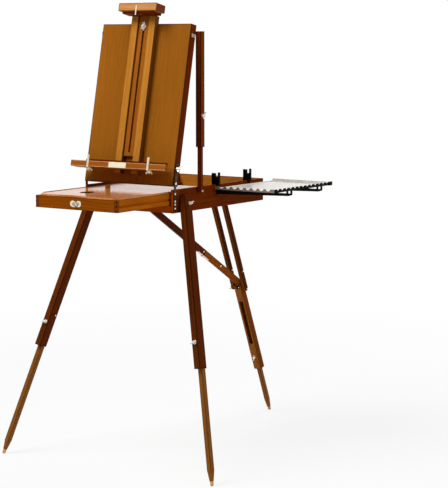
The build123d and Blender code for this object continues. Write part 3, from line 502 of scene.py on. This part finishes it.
STILE = Stain("stile", (0.105, 0.021, 0.001), (0.25, 0.062, 0.004), figure=0.45, ring=0.014, shine=0.008, edge=0.7,
              side_shading_tone=(0.045, 0.005, 0.0003), worn=0.9, dark_outline_width=0.0034)
BAR = Stain("bar", (0.15, 0.046, 0.006), (0.30, 0.108, 0.018), figure=0.4, ring=0.014, shine=0.03, worn=0.8)
GOLD = Stain("gold", (0.20, 0.062, 0.006), (0.38, 0.130, 0.020), figure=0.4, ring=0.014, shine=0.01, edge=0.85,
             side_shading_tone=(0.16, 0.030, 0.001), worn=0.8)
BRACE = Stain("brace", (0.15, 0.032, 0.001), (0.33, 0.086, 0.004), figure=0.5, shine=0.01, worn=0.9)
SPREAD = Stain("spread", (0.42, 0.130, 0.018), (0.72, 0.260, 0.050), figure=0.5, ring=0.022, pores=0.3, shine=0.5,
               roughness=0.13, worn=0.0)
INSIDE = Stain("inside", (0.32, 0.125, 0.016), (0.58, 0.260, 0.046), figure=0.35, ring=0.016, roughness=0.5)
ENDS = Stain("ends", (0.10, 0.020, 0.001), (0.24, 0.050, 0.003), figure=0.6, ring=0.004, shine=0.02)
# Near-black wood for painted shade: the palette's edge strip, the thumb hole's ring and the corner joints' pins.
DARK_SHADE_WOOD = Stain("pins", (0.016, 0.004, 0.001), (0.045, 0.011, 0.002), figure=0.6, ring=0.003, shine=0.02)
# A light stain for the lip's beads: a painted highlight.
HIGHLIGHT_BEAD = Stain("bead", (0.42, 0.20, 0.09), (0.70, 0.38, 0.20), figure=0.3, ring=0.016)
BRASS = Metal("brass", (0.93, 0.84, 0.62), (0.62, 0.48, 0.28), 0.36, share=0.6)
NICKEL = Metal("nickel", (0.94, 0.90, 0.82), (0.52, 0.48, 0.42), 0.32, share=0.55)
COPPER = Metal("copper", (0.86, 0.66, 0.52), (0.50, 0.34, 0.24), 0.40, share=0.6)
AGED = Metal("aged", (0.075, 0.050, 0.034), (0.03, 0.020, 0.014), 0.45)
IRON = Metal("iron", (0.022, 0.018, 0.014), (0.01, 0.008, 0.007), 0.5, share=0.3)
GREY = Metal("grey", (0.34, 0.34, 0.33), (0.16, 0.16, 0.16), 0.36, share=0.7)
PLATE = Moulded("plate", (0.86, 0.80, 0.60), (0.74, 0.66, 0.46), 0.35)
SHEET = Metal("sheet", (0.73, 0.715, 0.675), (0.62, 0.60, 0.56), 0.42, scale=60.0, share=0.35)
BLACK = Moulded("black", (0.0024, 0.0022, 0.0022), (0.007, 0.006, 0.006), 0.6, shine=0.05)
TAN = Moulded("tan", (0.60, 0.33, 0.14), (0.42, 0.22, 0.10), 0.6)


def middle_x() -> float:
    """The place of the box's middle plane."""
    return (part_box("box_left_wall")[0].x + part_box("box_right_wall")[1].x) / 2


def front_y() -> float:
    """The place of the box's front face."""
    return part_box("box_left_wall")[0].y


def joint(name: str) -> dict[str, Any]:
    """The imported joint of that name."""
    return next(j for j in frame["joints"] if j["name"] == name)


def long_axis(node: str) -> Vector:
    """The unit vector along which a CAD node is longest."""
    points = np.array([v.co for v in frame["nodes"][node].data.vertices], float)
    values, ways = np.linalg.eigh(np.cov((points - points.mean(0)).T))
    return Vector(ways[:, int(np.argmax(values))])


def panel_ways() -> tuple[Vector, Vector]:
    """The directions up the canvas panel and out of its face."""
    rise = Vector(joint("mast_slide")["axis"])
    out = rise.cross(RIGHT)
    return rise, out if out.y < 0 else -out


def shown(name: str, data: bpy.types.ID) -> bpy.types.Object:
    """A new object in the scene, made of that data."""
    made = bpy.data.objects.new(name, data)
    bpy.context.scene.collection.objects.link(made)
    return made


def span(node: str, way: Vector) -> tuple[float, float]:
    """Where a CAD node starts and ends along a unit vector."""
    reaches = [v.co.dot(way) for v in frame["nodes"][node].data.vertices]
    return min(reaches), max(reaches)


@dataclass(frozen=True)
class Seat:
    """A place on the easel with the directions of a small fitting there.

    Attributes:
        at: The middle of the surface that carries the fitting.
        out: The direction away from that surface.
        up: The fitting's own upright, square to out.
    """

    at: Vector
    out: Vector
    up: Vector

    def point(self, across: float, rise: float, away: float) -> Vector:
        """A point beside, above and away from the seat's middle."""
        return self.at + self.out.cross(self.up) * across + self.up * rise + self.out * away


def panel_seat(x: float, level: float, face: float) -> Seat:
    """A seat on the panel, from its places across, up the panel and out of its face."""
    rise, out = panel_ways()
    return Seat(RIGHT * x + rise * level + out * face, out, rise)


@dataclass(frozen=True)
class Head:
    """The head of a screw or pin.

    Attributes:
        radius: Its radius.
        height: How far its dome rises.
        slot: The slot's width, or 0.
    """

    radius: float
    height: float
    slot: float = 0.0


def screw_head(mesh: bmesh.types.BMesh, seat: Seat, head: Head, rows: int = 4, steps: int = 10) -> None:
    """Adds a closed domed head, or two closed halves of one with a slot between them.

    Args:
        mesh: The mesh that gets it.
        seat: Where it sits; its slot runs along up.
        head: Its sizes.
        rows: How many rows of faces the dome has.
        steps: How many faces each row has in half a turn.
    """
    for half in (-1, 1) if head.slot else (0,):
        aside = half * head.slot / 2
        count = steps + 1 if half else 2 * steps
        pairs = [(n, (n + 1) % count) for n in range(steps if half else count)]
        dome = []
        for lift in (i / rows * math.pi / 2 for i in range(rows)):
            reach, away = head.radius * math.cos(lift), head.height * math.sin(lift)
            turns = ((n / steps - 0.5) * math.pi for n in range(count))
            dome.append([mesh.verts.new(seat.point(aside + (half or 1) * reach * math.cos(t),
                                                   reach * math.sin(t), away)) for t in turns])
        top = mesh.verts.new(seat.point(aside, 0.0, head.height))
        for low, high in zip(dome, dome[1:]):
            for n, m in pairs:
                mesh.faces.new((low[n], low[m], high[m], high[n]))
        for n, m in pairs:
            mesh.faces.new((dome[-1][n], dome[-1][m], top))
        mesh.faces.new(list(reversed(dome[0])))
        if half:
            mesh.faces.new([row[0] for row in dome] + [top] + [row[-1] for row in reversed(dome)])
    if head.slot:
        block(mesh, seat, 1.2 * head.slot, 2 * head.radius - head.slot, 0.3 * head.height, 0.0)


def block(mesh: bmesh.types.BMesh, seat: Seat, width: float, length: float, height: float, bevel: float) -> None:
    """Adds a block with bevelled edges that stands on a seat.

    Args:
        mesh: The mesh that gets it.
        seat: The middle of its foot; its length runs along up.
        width: Its size across.
        length: Its size along up.
        height: Its size along out.
        bevel: The width of its bevels.
    """
    corners = [mesh.verts.new(seat.point(x * width / 2, y * length / 2, z * height))
               for z in (0, 1) for x, y in ((-1, -1), (1, -1), (1, 1), (-1, 1))]
    faces = [mesh.faces.new([corners[n] for n in order])
             for order in ((3, 2, 1, 0), (4, 5, 6, 7), (0, 1, 5, 4), (1, 2, 6, 5), (2, 3, 7, 6), (3, 0, 4, 7))]
    if bevel:
        edges = {edge for face in faces for edge in face.edges}
        bmesh.ops.bevel(mesh, geom=list(edges), offset=bevel, segments=2, affect="EDGES", profile=0.5)


@dataclass
class SubAssembly:
    """A group of pieces that are finished together.

    Attributes:
        seed: Shifts the grain of each board.
    """

    seed: float = 0.0

    def dress(self) -> None:
        """Finishes the group's CAD nodes."""
        raise NotImplementedError

    def build(self) -> None:
        """Adds the pieces that the CAD leaves out, where there are any."""

    def wood(self, node: str, stain: Stain, grain: Grain = Grain.ALONG, layout: Layout = Layout.ONE,
             cross_within: float = 0.0) -> None:
        """Gives a CAD node a wood finish.

        Args:
            node: The node's name.
            stain: The finish.
            grain: How its figure runs.
            layout: How many boards it holds.
            cross_within: Where set, the grain runs across within this distance of the middle plane.
        """
        ways = {
            Grain.UPRIGHT: lambda: panel_ways()[0],
            Grain.ACROSS: lambda: RIGHT,
            Grain.DEEP: lambda: BACK,
            Grain.ALONG: lambda: long_axis(node),
        }
        self.seed += 1.0
        outline = None if layout is Layout.SEVERAL or not stain.worn else Outline.of(node, layout is Layout.PAIR)
        self._assign(node, stain.material(node, ways[grain](), self.seed, outline, cross_within))

    def plain(self, finish: Union[Metal, Moulded], *nodes: str) -> None:
        """Gives CAD nodes a metal or moulded finish."""
        for node in nodes:
            self._assign(node, finish.material(node))

    @staticmethod
    def _assign(node: str, material: bpy.types.Material) -> None:
        """Puts a material in a node's only slot."""
        slots = frame["nodes"][node].material_slots
        for slot in slots:
            slot.material = material
        if not slots:
            frame["nodes"][node].data.materials.append(material)
        log.info("finish %s on %s", material.name, node)

    def add(self, name: str, mesh: bmesh.types.BMesh, body: str, slot: str, material: bpy.types.Material,
            smooth: bool = True) -> None:
        """Makes an object that rides on a body.

        Args:
            name: The piece's name.
            mesh: Its mesh, in the shared frame; it is freed.
            body: The CAD body that it moves with.
            slot: The record's material slot; not used.
            material: Its material.
            smooth: Whether its faces are shaded smooth.
        """
        bmesh.ops.recalc_face_normals(mesh, faces=mesh.faces)
        data = bpy.data.meshes.new(name)
        mesh.to_mesh(data)
        mesh.free()
        for face in data.polygons:
            face.use_smooth = smooth
        data.materials.append(material)
        piece = shown(name, data)
        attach(piece, body)
        log.info("piece %s on %s", name, body)


@dataclass
class SketchBox(SubAssembly):
    """The box with its floor, runners, hinges and pivots."""

    seed: float = 1.0
    screw_drops: Sequence[float] = (15 * MM, 40 * MM, 51 * MM, 64 * MM)
    screw: Head = Head(3.9 * MM, 1.7 * MM, 0.9 * MM)
    first_turn: float = 0.6
    turn_step: float = 1.9
    pin: Head = Head(4.4 * MM, 2.04 * MM)
    leaf_face: float = 1.8 * MM

    def dress(self) -> None:
        """Finishes the box's own nodes."""
        for node in ("box_left_wall", "box_right_wall"):
            self.wood(node, BOX, Grain.DEEP)
        self.wood("drawer_runners", BOX, Grain.DEEP, Layout.SEVERAL)
        self.wood("box_front_rail", BOX, Grain.ACROSS)
        self.wood("box_rear_wall", RAIL, Grain.ACROSS)
        self.wood("box_floor", INSIDE, Grain.DEEP)
        self.wood("pivot_blocks", LEG, Grain.DEEP, Layout.SEVERAL)
        self.plain(NICKEL, "pivot_bolts")
        self.plain(AGED, "lower_hinge_leaves", "upper_hinge_leaves")

    def build(self) -> None:
        """Adds the screws of the two strap hinges and the heads of their pins."""
        axis = Vector(joint("lid_tilt")["pos_m"])
        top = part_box("box_right_wall")[1].z
        screws, pins = bmesh.new(), bmesh.new()
        for side, wall in ((-1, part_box("box_left_wall")[0].x), (1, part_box("box_right_wall")[1].x)):
            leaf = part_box("upper_hinge_leaves")[0 if side < 0 else 1].x
            for n, drop in enumerate(self.screw_drops):
                turn = self.first_turn + self.turn_step * n
                seat = Seat(Vector((wall + side * self.leaf_face, axis.y, top - drop)), RIGHT * side,
                            Vector((0, math.sin(turn), math.cos(turn))))
                screw_head(screws, seat, self.screw)
            screw_head(pins, Seat(Vector((leaf, axis.y, axis.z)), RIGHT * side, UP), self.pin)
        self.add("hinge_screws", screws, "box", "brass", NICKEL.material("hinge_screws"))
        self.add("hinge_pin_heads", pins, "box", "brass", NICKEL.material("hinge_pin_heads"))


@dataclass
class Drawer(SubAssembly):
    """The pulled-out drawer with its latch and the palette on it."""

    seed: float = 20.0
    screw_turns: Sequence[float] = (0.5, 2.3)
    screw_apart: float = 25 * MM
    screw: Head = Head(2.7 * MM, 1.5 * MM, 1.0 * MM)
    plate_thickness: float = 1.5 * MM
    joint_width: float = 13 * MM
    joint_proud: float = 0.3 * MM
    pin_size: float = 5.5 * MM
    pin_rises: Sequence[float] = (0.14, 0.5, 0.86)
    rim_width: float = 2.0 * MM
    rim_height: float = 1.4 * MM
    rim_start: float = 33 * MM
    rim_bevel: float = 0.4 * MM
    hole_width: float = 44 * MM
    hole_length: float = 58 * MM
    hole_offset: float = 46 * MM
    hole_from_front: float = 115 * MM
    shade_ring_width: float = 0.8 * MM
    hole_steps: int = 48

    def dress(self) -> None:
        """Finishes the drawer's nodes."""
        self.wood("drawer_front", FRONT, Grain.ACROSS)
        self.wood("drawer_sides", SIDE, Grain.DEEP, Layout.PAIR)
        self.wood("drawer_back", INSIDE, Grain.ACROSS)
        self.wood("drawer_floor", INSIDE, Grain.DEEP)
        self.wood("drawer_partitions", INSIDE, Grain.DEEP, Layout.SEVERAL)
        self.wood("palette", SPREAD, Grain.DEEP)
        self.plain(BRASS, "drawer_latch_plate")
        self.plain(GREY, "drawer_ring")

    def build(self) -> None:
        """Adds the latch screws, the corner joints, and near-black painted shade along the palette's left edge and
        inside its thumb hole.
        """
        low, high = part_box("drawer_front")
        middle, face, level = (low.x + high.x) / 2, low.y, (low.z + high.z) / 2
        screws = bmesh.new()
        for side, turn in zip((-1, 1), self.screw_turns):
            seat = Seat(Vector((middle + side * self.screw_apart / 2, face - self.plate_thickness, level)),
                        AHEAD, Vector((math.sin(turn), 0, math.cos(turn))))
            screw_head(screws, seat, self.screw)
        self.add("latch_screws", screws, "drawer", "brass", IRON.material("latch_screws"))
        ends, pins = bmesh.new(), bmesh.new()
        height = high.z - low.z
        for side, x in ((-1, low.x), (1, high.x)):
            seat = Seat(Vector((x - side * self.joint_width / 2, face, level)), AHEAD, UP)
            block(ends, seat, self.joint_width, height - 2 * self.joint_proud, self.joint_proud, 0.0)
            for rise in self.pin_rises:
                spot = Vector((x - side * self.pin_size / 2, face - self.joint_proud, low.z + rise * height))
                block(pins, Seat(spot, AHEAD, UP), self.pin_size, self.pin_size, self.joint_proud, 0.0)
        self.add("drawer_corner_ends", ends, "drawer", "frame_wood",
                 ENDS.material("drawer_corner_ends", BACK, seed=31.0), smooth=False)
        # The pins are near-black: their dark end grain, with painted shade of the joint's gaps.
        self.add("drawer_corner_pins", pins, "drawer", "frame_wood",
                 DARK_SHADE_WOOD.material("drawer_corner_pins", BACK, seed=32.0), smooth=False)
        self._palette_edge()
        self._thumb_hole_shade()

    def _palette_edge(self) -> None:
        """Adds a near-black strip along the palette's left edge: painted shade, standing for the shaded inner face of
        the drawer's left side.
        """
        low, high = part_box("palette")
        shade_strip = bmesh.new()
        length = high.y - low.y - 2 * self.rim_start
        seat = Seat(Vector((low.x + self.rim_width / 2, (low.y + high.y) / 2, high.z)), UP, BACK)
        block(shade_strip, seat, self.rim_width, length, self.rim_height, self.rim_bevel)
        self.add("palette_shade_strip", shade_strip, "palette", "panel_wood", DARK_SHADE_WOOD.material("palette_shade_strip", BACK, seed=33.0),
                 smooth=False)

    def _thumb_hole_shade(self) -> None:
        """Adds a near-black ring inside the palette's thumb hole, which stands a little proud: painted shade in the
        hole.
        """
        low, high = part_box("palette")
        middle = Vector((middle_x() - self.hole_offset, low.y + self.hole_from_front, 0.0))
        mesh = bmesh.new()
        section = ((0.0, low.z), (0.0, high.z + self.joint_proud), (self.shade_ring_width, high.z + self.joint_proud),
                   (self.shade_ring_width, low.z))
        rings = []
        for inset, level in section:
            half_x, half_y = self.hole_width / 2 - inset, self.hole_length / 2 - inset
            rings.append([mesh.verts.new((middle.x + half_x * math.cos(t), middle.y + half_y * math.sin(t), level))
                          for t in (n / self.hole_steps * math.tau for n in range(self.hole_steps))])
        for outer, inner in zip(rings, rings[1:] + rings[:1]):
            for n in range(self.hole_steps):
                m = (n + 1) % self.hole_steps
                mesh.faces.new((outer[n], outer[m], inner[m], inner[n]))
        self.add("thumb_hole_shade_ring", mesh, "palette", "panel_wood",
                 DARK_SHADE_WOOD.material("thumb_hole_shade_ring", UP, seed=34.0))


@dataclass
class CanvasPanel(SubAssembly):
    """The tilting panel, its frame and fittings."""

    seed: float = 40.0
    rail_inset: float = 178 * MM

    def dress(self) -> None:
        """Finishes the panel's nodes."""
        self.wood("lid_panel", PANEL, Grain.UPRIGHT)
        self.wood("lid_rails", FRAME, Grain.UPRIGHT, Layout.ONE, self.rail_inset)
        self.plain(NICKEL, "lid_fittings")


@dataclass
class Mast(SubAssembly):
    """The mast rails, the sliding bar and the head clamp."""

    seed: float = 60.0
    strip_low: float = 62 * MM
    strip_high: float = 102 * MM
    strip_width: float = 42 * MM
    strip_thickness: float = 1.2 * MM
    strip_bevel: float = 0.3 * MM

    def dress(self) -> None:
        """Finishes the mast's nodes."""
        self.wood("mast_rails", RAIL, Grain.UPRIGHT, Layout.PAIR)
        self.wood("mast_bar", LEDGE, Grain.UPRIGHT)
        self.wood("head_block", HEAD, Grain.ACROSS)
        self.wood("head_jaw", FRAME, Grain.ACROSS)
        self.plain(NICKEL, "mast_bolt", "mast_wing_nut", "head_bolt", "head_wing_nut")

    def build(self) -> None:
        """Adds the thin strip of wood on the panel between the mast rails."""
        rise, out = panel_ways()
        level = Vector(joint("lid_tilt")["pos_m"]).dot(rise) + (self.strip_low + self.strip_high) / 2
        mesh = bmesh.new()
        block(mesh, panel_seat(middle_x(), level, span("lid_panel", out)[1]), self.strip_width,
              self.strip_high - self.strip_low, self.strip_thickness, self.strip_bevel)
        self.add("mast_guide_strip", mesh, "lid", "frame_wood", LEDGE.material("mast_guide_strip", rise, seed=66.0),
                 smooth=False)


@dataclass
class Shelf(SubAssembly):
    """The canvas shelf with its stops and bare plate."""

    seed: float = 80.0
    bead_inset: float = 1.8 * MM
    bead_width: float = 2.0 * MM
    bead_proud: float = 0.6 * MM
    bead_bevel: float = 0.2 * MM
    pin_inset: float = 3.5 * MM
    pin: Head = Head(1.6 * MM, 0.96 * MM)

    def dress(self) -> None:
        """Finishes the shelf's nodes."""
        self.wood("shelf_lip", LEDGE, Grain.ACROSS)
        self.wood("shelf_ledge", LEDGE, Grain.ACROSS)
        self.wood("shelf_back", FRAME, Grain.ACROSS)
        self.plain(PLATE, "shelf_nameplate")
        self.plain(BRASS, "canvas_stops")

    def build(self) -> None:
        """Adds the beads along the lip, stained light as a painted highlight, and the pins of the bare plate."""
        rise, out = panel_ways()
        (left, right), (low, high) = span("shelf_lip", RIGHT), span("shelf_lip", rise)
        beads = bmesh.new()
        for level in (low + self.bead_inset, high - self.bead_inset):
            block(beads, panel_seat((left + right) / 2, level, span("shelf_lip", out)[1]),
                  right - left - 2 * self.bead_inset, self.bead_width, self.bead_proud, self.bead_bevel)
        # Painted highlight: the beads take a light stain.
        self.add("shelf_lip_highlight_beads", beads, "shelf", "frame_wood", HIGHLIGHT_BEAD.material("shelf_lip_highlight_beads", RIGHT, seed=84.0),
                 smooth=False)
        (left, right), (low, high) = span("shelf_nameplate", RIGHT), span("shelf_nameplate", rise)
        pins = bmesh.new()
        for x in (left + self.pin_inset, right - self.pin_inset):
            screw_head(pins, panel_seat(x, (low + high) / 2, span("shelf_nameplate", out)[1]), self.pin)
        self.add("nameplate_pins", pins, "shelf", "brass", BRASS.material("nameplate_pins"))


@dataclass
class Struts(SubAssembly):
    """Both side struts."""

    seed: float = 100.0

    def dress(self) -> None:
        """Finishes the struts' nodes."""
        for side in ("left", "right"):
            self.wood(f"{side}_strut_bar", FRAME)
            self.wood(f"{side}_strut_channel", STRUT)
            self.plain(NICKEL, f"{side}_strut_clamp")


@dataclass
class Legs(SubAssembly):
    """Both front legs and the rear leg with its brace."""

    seed: float = 120.0
    front_screw: float = 372 * MM
    rear_screw: float = 502 * MM
    screw: Head = Head(3.4 * MM, 1.6 * MM, 0.8 * MM)

    def dress(self) -> None:
        """Finishes the legs' nodes."""
        for side in ("left", "right"):
            self.wood(f"{side}_leg_channel", LEG)
            self.wood(f"{side}_leg_bar", BAR)
            self.plain(NICKEL, f"{side}_leg_clamp")
            self.plain(TAN, f"{side}_foot_plug")
        self.wood("rear_leg_rails", STILE, Grain.ALONG, Layout.PAIR)
        self.wood("brace_front", LEG)
        self.wood("brace_rear", BRACE)
        self.wood("rear_leg_middle", GOLD)
        self.wood("rear_leg_bar", BAR)
        self.plain(NICKEL, "rear_leg_bolts")
        self.plain(TAN, "rear_foot_plug")
        self.plain(COPPER, "brace_front_leaf", "brace_rear_leaf")

    def build(self) -> None:
        """Adds the screws that show on the two halves of the brace."""
        start = Vector(joint("brace_front_swing")["pos_m"])
        way = long_axis("brace_front")
        way = way if way.y > 0 else -way
        edge = (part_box("brace_front")[1].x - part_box("brace_front")[0].x) / 2
        for body, reach in (("brace_front", self.front_screw), ("brace_rear", self.rear_screw)):
            mesh = bmesh.new()
            for out in (-RIGHT, RIGHT):
                screw_head(mesh, Seat(start + way * reach + out * edge, out, way), self.screw)
            name = f"{body}_screws"
            self.add(name, mesh, body, "brass", NICKEL.material(name))


@dataclass
class SideTray(SubAssembly):
    """The metal tray on its black arms."""

    seed: float = 160.0
    notch_pitch: float = 27.5 * MM
    notch_radius: float = 7.0 * MM
    notch_rise: float = 2.0 * MM
    rim_height: float = 12.0 * MM
    sheet_depth: float = 1.5 * MM
    strip_thickness: float = 1.8 * MM
    end_length: float = 22.0 * MM
    end_beyond: float = 8.0 * MM
    end_height: float = 14.0 * MM
    end_bevel: float = 0.5 * MM
    arc_steps: int = 8

    def dress(self) -> None:
        """Finishes the tray's nodes."""
        # The pan's front rim takes a painted shade and reflection.
        self._assign("tray_pan", SHEET.material("tray_pan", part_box("tray_pan")[0].y + self.sheet_depth))
        self.plain(BLACK, "tray_arms")

    def _notched_line(self, length: float) -> list[tuple[float, float]]:
        """The rim's outline, from one foot over the notches to the other foot.

        Args:
            length: The rim's length.

        Returns:
            Places along the rim, each with its height.
        """
        count = int(length // self.notch_pitch)
        margin = (length - count * self.notch_pitch) / 2
        sweep = math.acos(self.notch_rise / self.notch_radius)
        line = [(0.0, 0.0), (0.0, self.rim_height)]
        for n in range(count):
            middle = margin + (n + 0.5) * self.notch_pitch
            for step in range(self.arc_steps + 1):
                turn = -sweep + 2 * sweep * step / self.arc_steps
                line.append((middle + self.notch_radius * math.sin(turn),
                             self.rim_height + self.notch_rise - self.notch_radius * math.cos(turn)))
        return line + [(length, self.rim_height), (length, 0.0)]

    def build(self) -> None:
        """Adds a black strip on the tray's outer rim, painted shade and dark reflection of that rim, with a thicker
        cap at its rear end.
        """
        low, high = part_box("tray_pan")
        mesh = bmesh.new()
        line = self._notched_line(high.y - low.y)
        sides = [[mesh.verts.new((x, low.y + along, low.z + rise)) for along, rise in line]
                 for x in (high.x, high.x + self.strip_thickness)]
        mesh.faces.new(sides[1])
        mesh.faces.new(list(reversed(sides[0])))
        for n in range(len(line)):
            m = (n + 1) % len(line)
            mesh.faces.new((sides[0][n], sides[0][m], sides[1][m], sides[1][n]))
        seat = Seat(Vector((high.x + self.strip_thickness, high.y + self.end_beyond - self.end_length / 2,
                            low.z + self.rim_height / 2)), RIGHT, BACK)
        block(mesh, seat, self.end_height, self.end_length, 2 * self.strip_thickness, self.end_bevel)
        # Painted shade: the rim's outer face is covered in black.
        self.add("tray_rim_shade_strip", mesh, "tray", "arm_plastic", BLACK.material("tray_rim_shade_strip"), smooth=False)


@dataclass
class Studio:
    """Floor, lamps and camera.

    Attributes:
        focal: The lens that gives the view, in millimetres on a 36 mm sensor.
        shift: How far the picture's middle lies from the view's axis.
        yaw: The camera's turn about the upright, in degrees.
        pitch: How far it looks down, in degrees.
        stand: Where it stands, in metres from the box's front middle on the floor.
        floor_radius: The floor's radius, in metres.
        keep_near: How far out the floor keeps its shadow in full, in metres.
        keep_far: Where the floor is as white as the backdrop, in metres.
        near_glow: How white the floor is near the easel, from 0 to 1.
        floor_tone: The floor's own colour.
        world_light: How strongly the backdrop lights the easel.
        front_gloss: How bright the front half of the room is in the varnish.
        back_gloss: How bright the back half is there.
        gloss_turn: Where one gives way to the other, as a Y of the direction.
        lamps: Each lamp's name, place, aim, side in metres and power in watts.
    """

    focal: float = 115.16
    shift: float = -0.0838
    yaw: float = 34.21
    pitch: float = 5.88
    stand: Colour = (3.2734, -4.2309, 1.4526)
    floor_radius: float = 60.0
    keep_near: float = 1.1
    keep_far: float = 3.4
    near_glow: float = 0.80
    floor_tone: Colour = (0.7, 0.7, 0.7)
    world_light: float = 0.24
    front_gloss: float = 0.35
    back_gloss: float = 1.0
    gloss_turn: tuple[float, float] = (-0.1, 0.35)
    lamps: Sequence[tuple[str, Colour, Colour, float, float]] = field(default_factory=lambda: (
        ("key", (-1.6, -3.0, 5.4), (0.0, 0.0, 0.9), 3.0, 330.0),
        ("fill", (4.6, -0.6, 3.0), (0.0, 0.2, 0.9), 2.4, 60.0),
        ("back", (0.6, 3.6, 3.6), (0.0, 0.2, 0.9), 2.2, 100.0),
    ))

    def build(self) -> None:
        """Makes the world, floor, lamps and camera."""
        bpy.context.scene.view_settings.view_transform = "Standard"
        self._world()
        self._floor()
        self._lamps()
        self._camera()

    def _world(self) -> None:
        """A white backdrop that lights the object at a lower level."""
        world = bpy.data.worlds.new("studio")
        graph = ShaderGraph(world, "ShaderNodeOutputWorld")
        path = graph.node("ShaderNodeLightPath", {}, {})
        seen, glossy = (Socket(graph, path.outputs[f"Is {kind} Ray"]) for kind in ("Camera", "Glossy"))
        way = graph.convert("ShaderNodeTexCoord", {}, {}, "Generated")
        behind = graph.part(way, "Y").ramp(*self.gloss_turn)
        behind = self.front_gloss + behind * (self.back_gloss - self.front_gloss)
        level = seen + (1.0 - seen) * (glossy * behind + (1.0 - glossy) * self.world_light)
        graph.finish("ShaderNodeBackground", {"Color": (1.0, 1.0, 1.0), "Strength": level})
        bpy.context.scene.world = world

    def _floor(self) -> None:
        """A white floor whose far part melts into the backdrop."""
        mesh = bmesh.new()
        bmesh.ops.create_circle(mesh, cap_ends=True, segments=96, radius=self.floor_radius)
        data = bpy.data.meshes.new("floor")
        mesh.to_mesh(data)
        mesh.free()
        floor = shown("floor", data)
        graph = ShaderGraph(bpy.data.materials.new("floor"))
        away = graph.convert("ShaderNodeVectorMath", {"operation": "LENGTH"}, {0: graph.place()}, "Value")
        path = graph.node("ShaderNodeLightPath", {}, {})
        seen = Socket(graph, path.outputs["Is Camera Ray"]) + Socket(graph, path.outputs["Is Glossy Ray"])
        far = away.ramp(self.keep_near, self.keep_far)
        glow = (seen * (self.near_glow + far * (1.0 - self.near_glow))).clamped()
        matt = graph.node("ShaderNodeBsdfDiffuse", {}, {"Color": self.floor_tone})
        white = graph.node("ShaderNodeEmission", {}, {"Color": (1.0, 1.0, 1.0), "Strength": 1.0})
        graph.finish("ShaderNodeMixShader", {0: glow, 1: Socket(graph, matt.outputs[0]),
                                             2: Socket(graph, white.outputs[0])})
        data.materials.append(graph.owner)

    def _lamps(self) -> None:
        """Adds the soft square lamps."""
        for name, stand, aim, size, power in self.lamps:
            data = bpy.data.lights.new(name, "AREA")
            data.shape, data.size, data.energy = "SQUARE", size, power
            lamp = shown(name, data)
            lamp.location = stand
            lamp.rotation_euler = (Vector(aim) - Vector(stand)).to_track_quat("-Z", "Y").to_euler()

    def _camera(self) -> None:
        """Adds the camera and makes it the scene's own."""
        data = bpy.data.cameras.new("view")
        data.lens = self.focal
        data.shift_y = self.shift
        data.clip_end = 200.0
        camera = shown("view", data)
        camera.location = Vector(self.stand) + Vector((middle_x(), front_y(), 0.0))
        camera.rotation_euler = (math.radians(90.0 - self.pitch), 0.0, math.radians(self.yaw))
        bpy.context.scene.camera = camera


def main() -> None:
    """Builds the easel's looks, then the studio."""
    logging.basicConfig(level=logging.INFO, format="%(message)s")
    for group in (SketchBox(), Drawer(), CanvasPanel(), Mast(), Shelf(), Struts(), Legs(), SideTray()):
        log.info("group %s", type(group).__name__)
        group.dress()
        group.build()
    Studio().build()


if __name__ == "__main__":
    main()
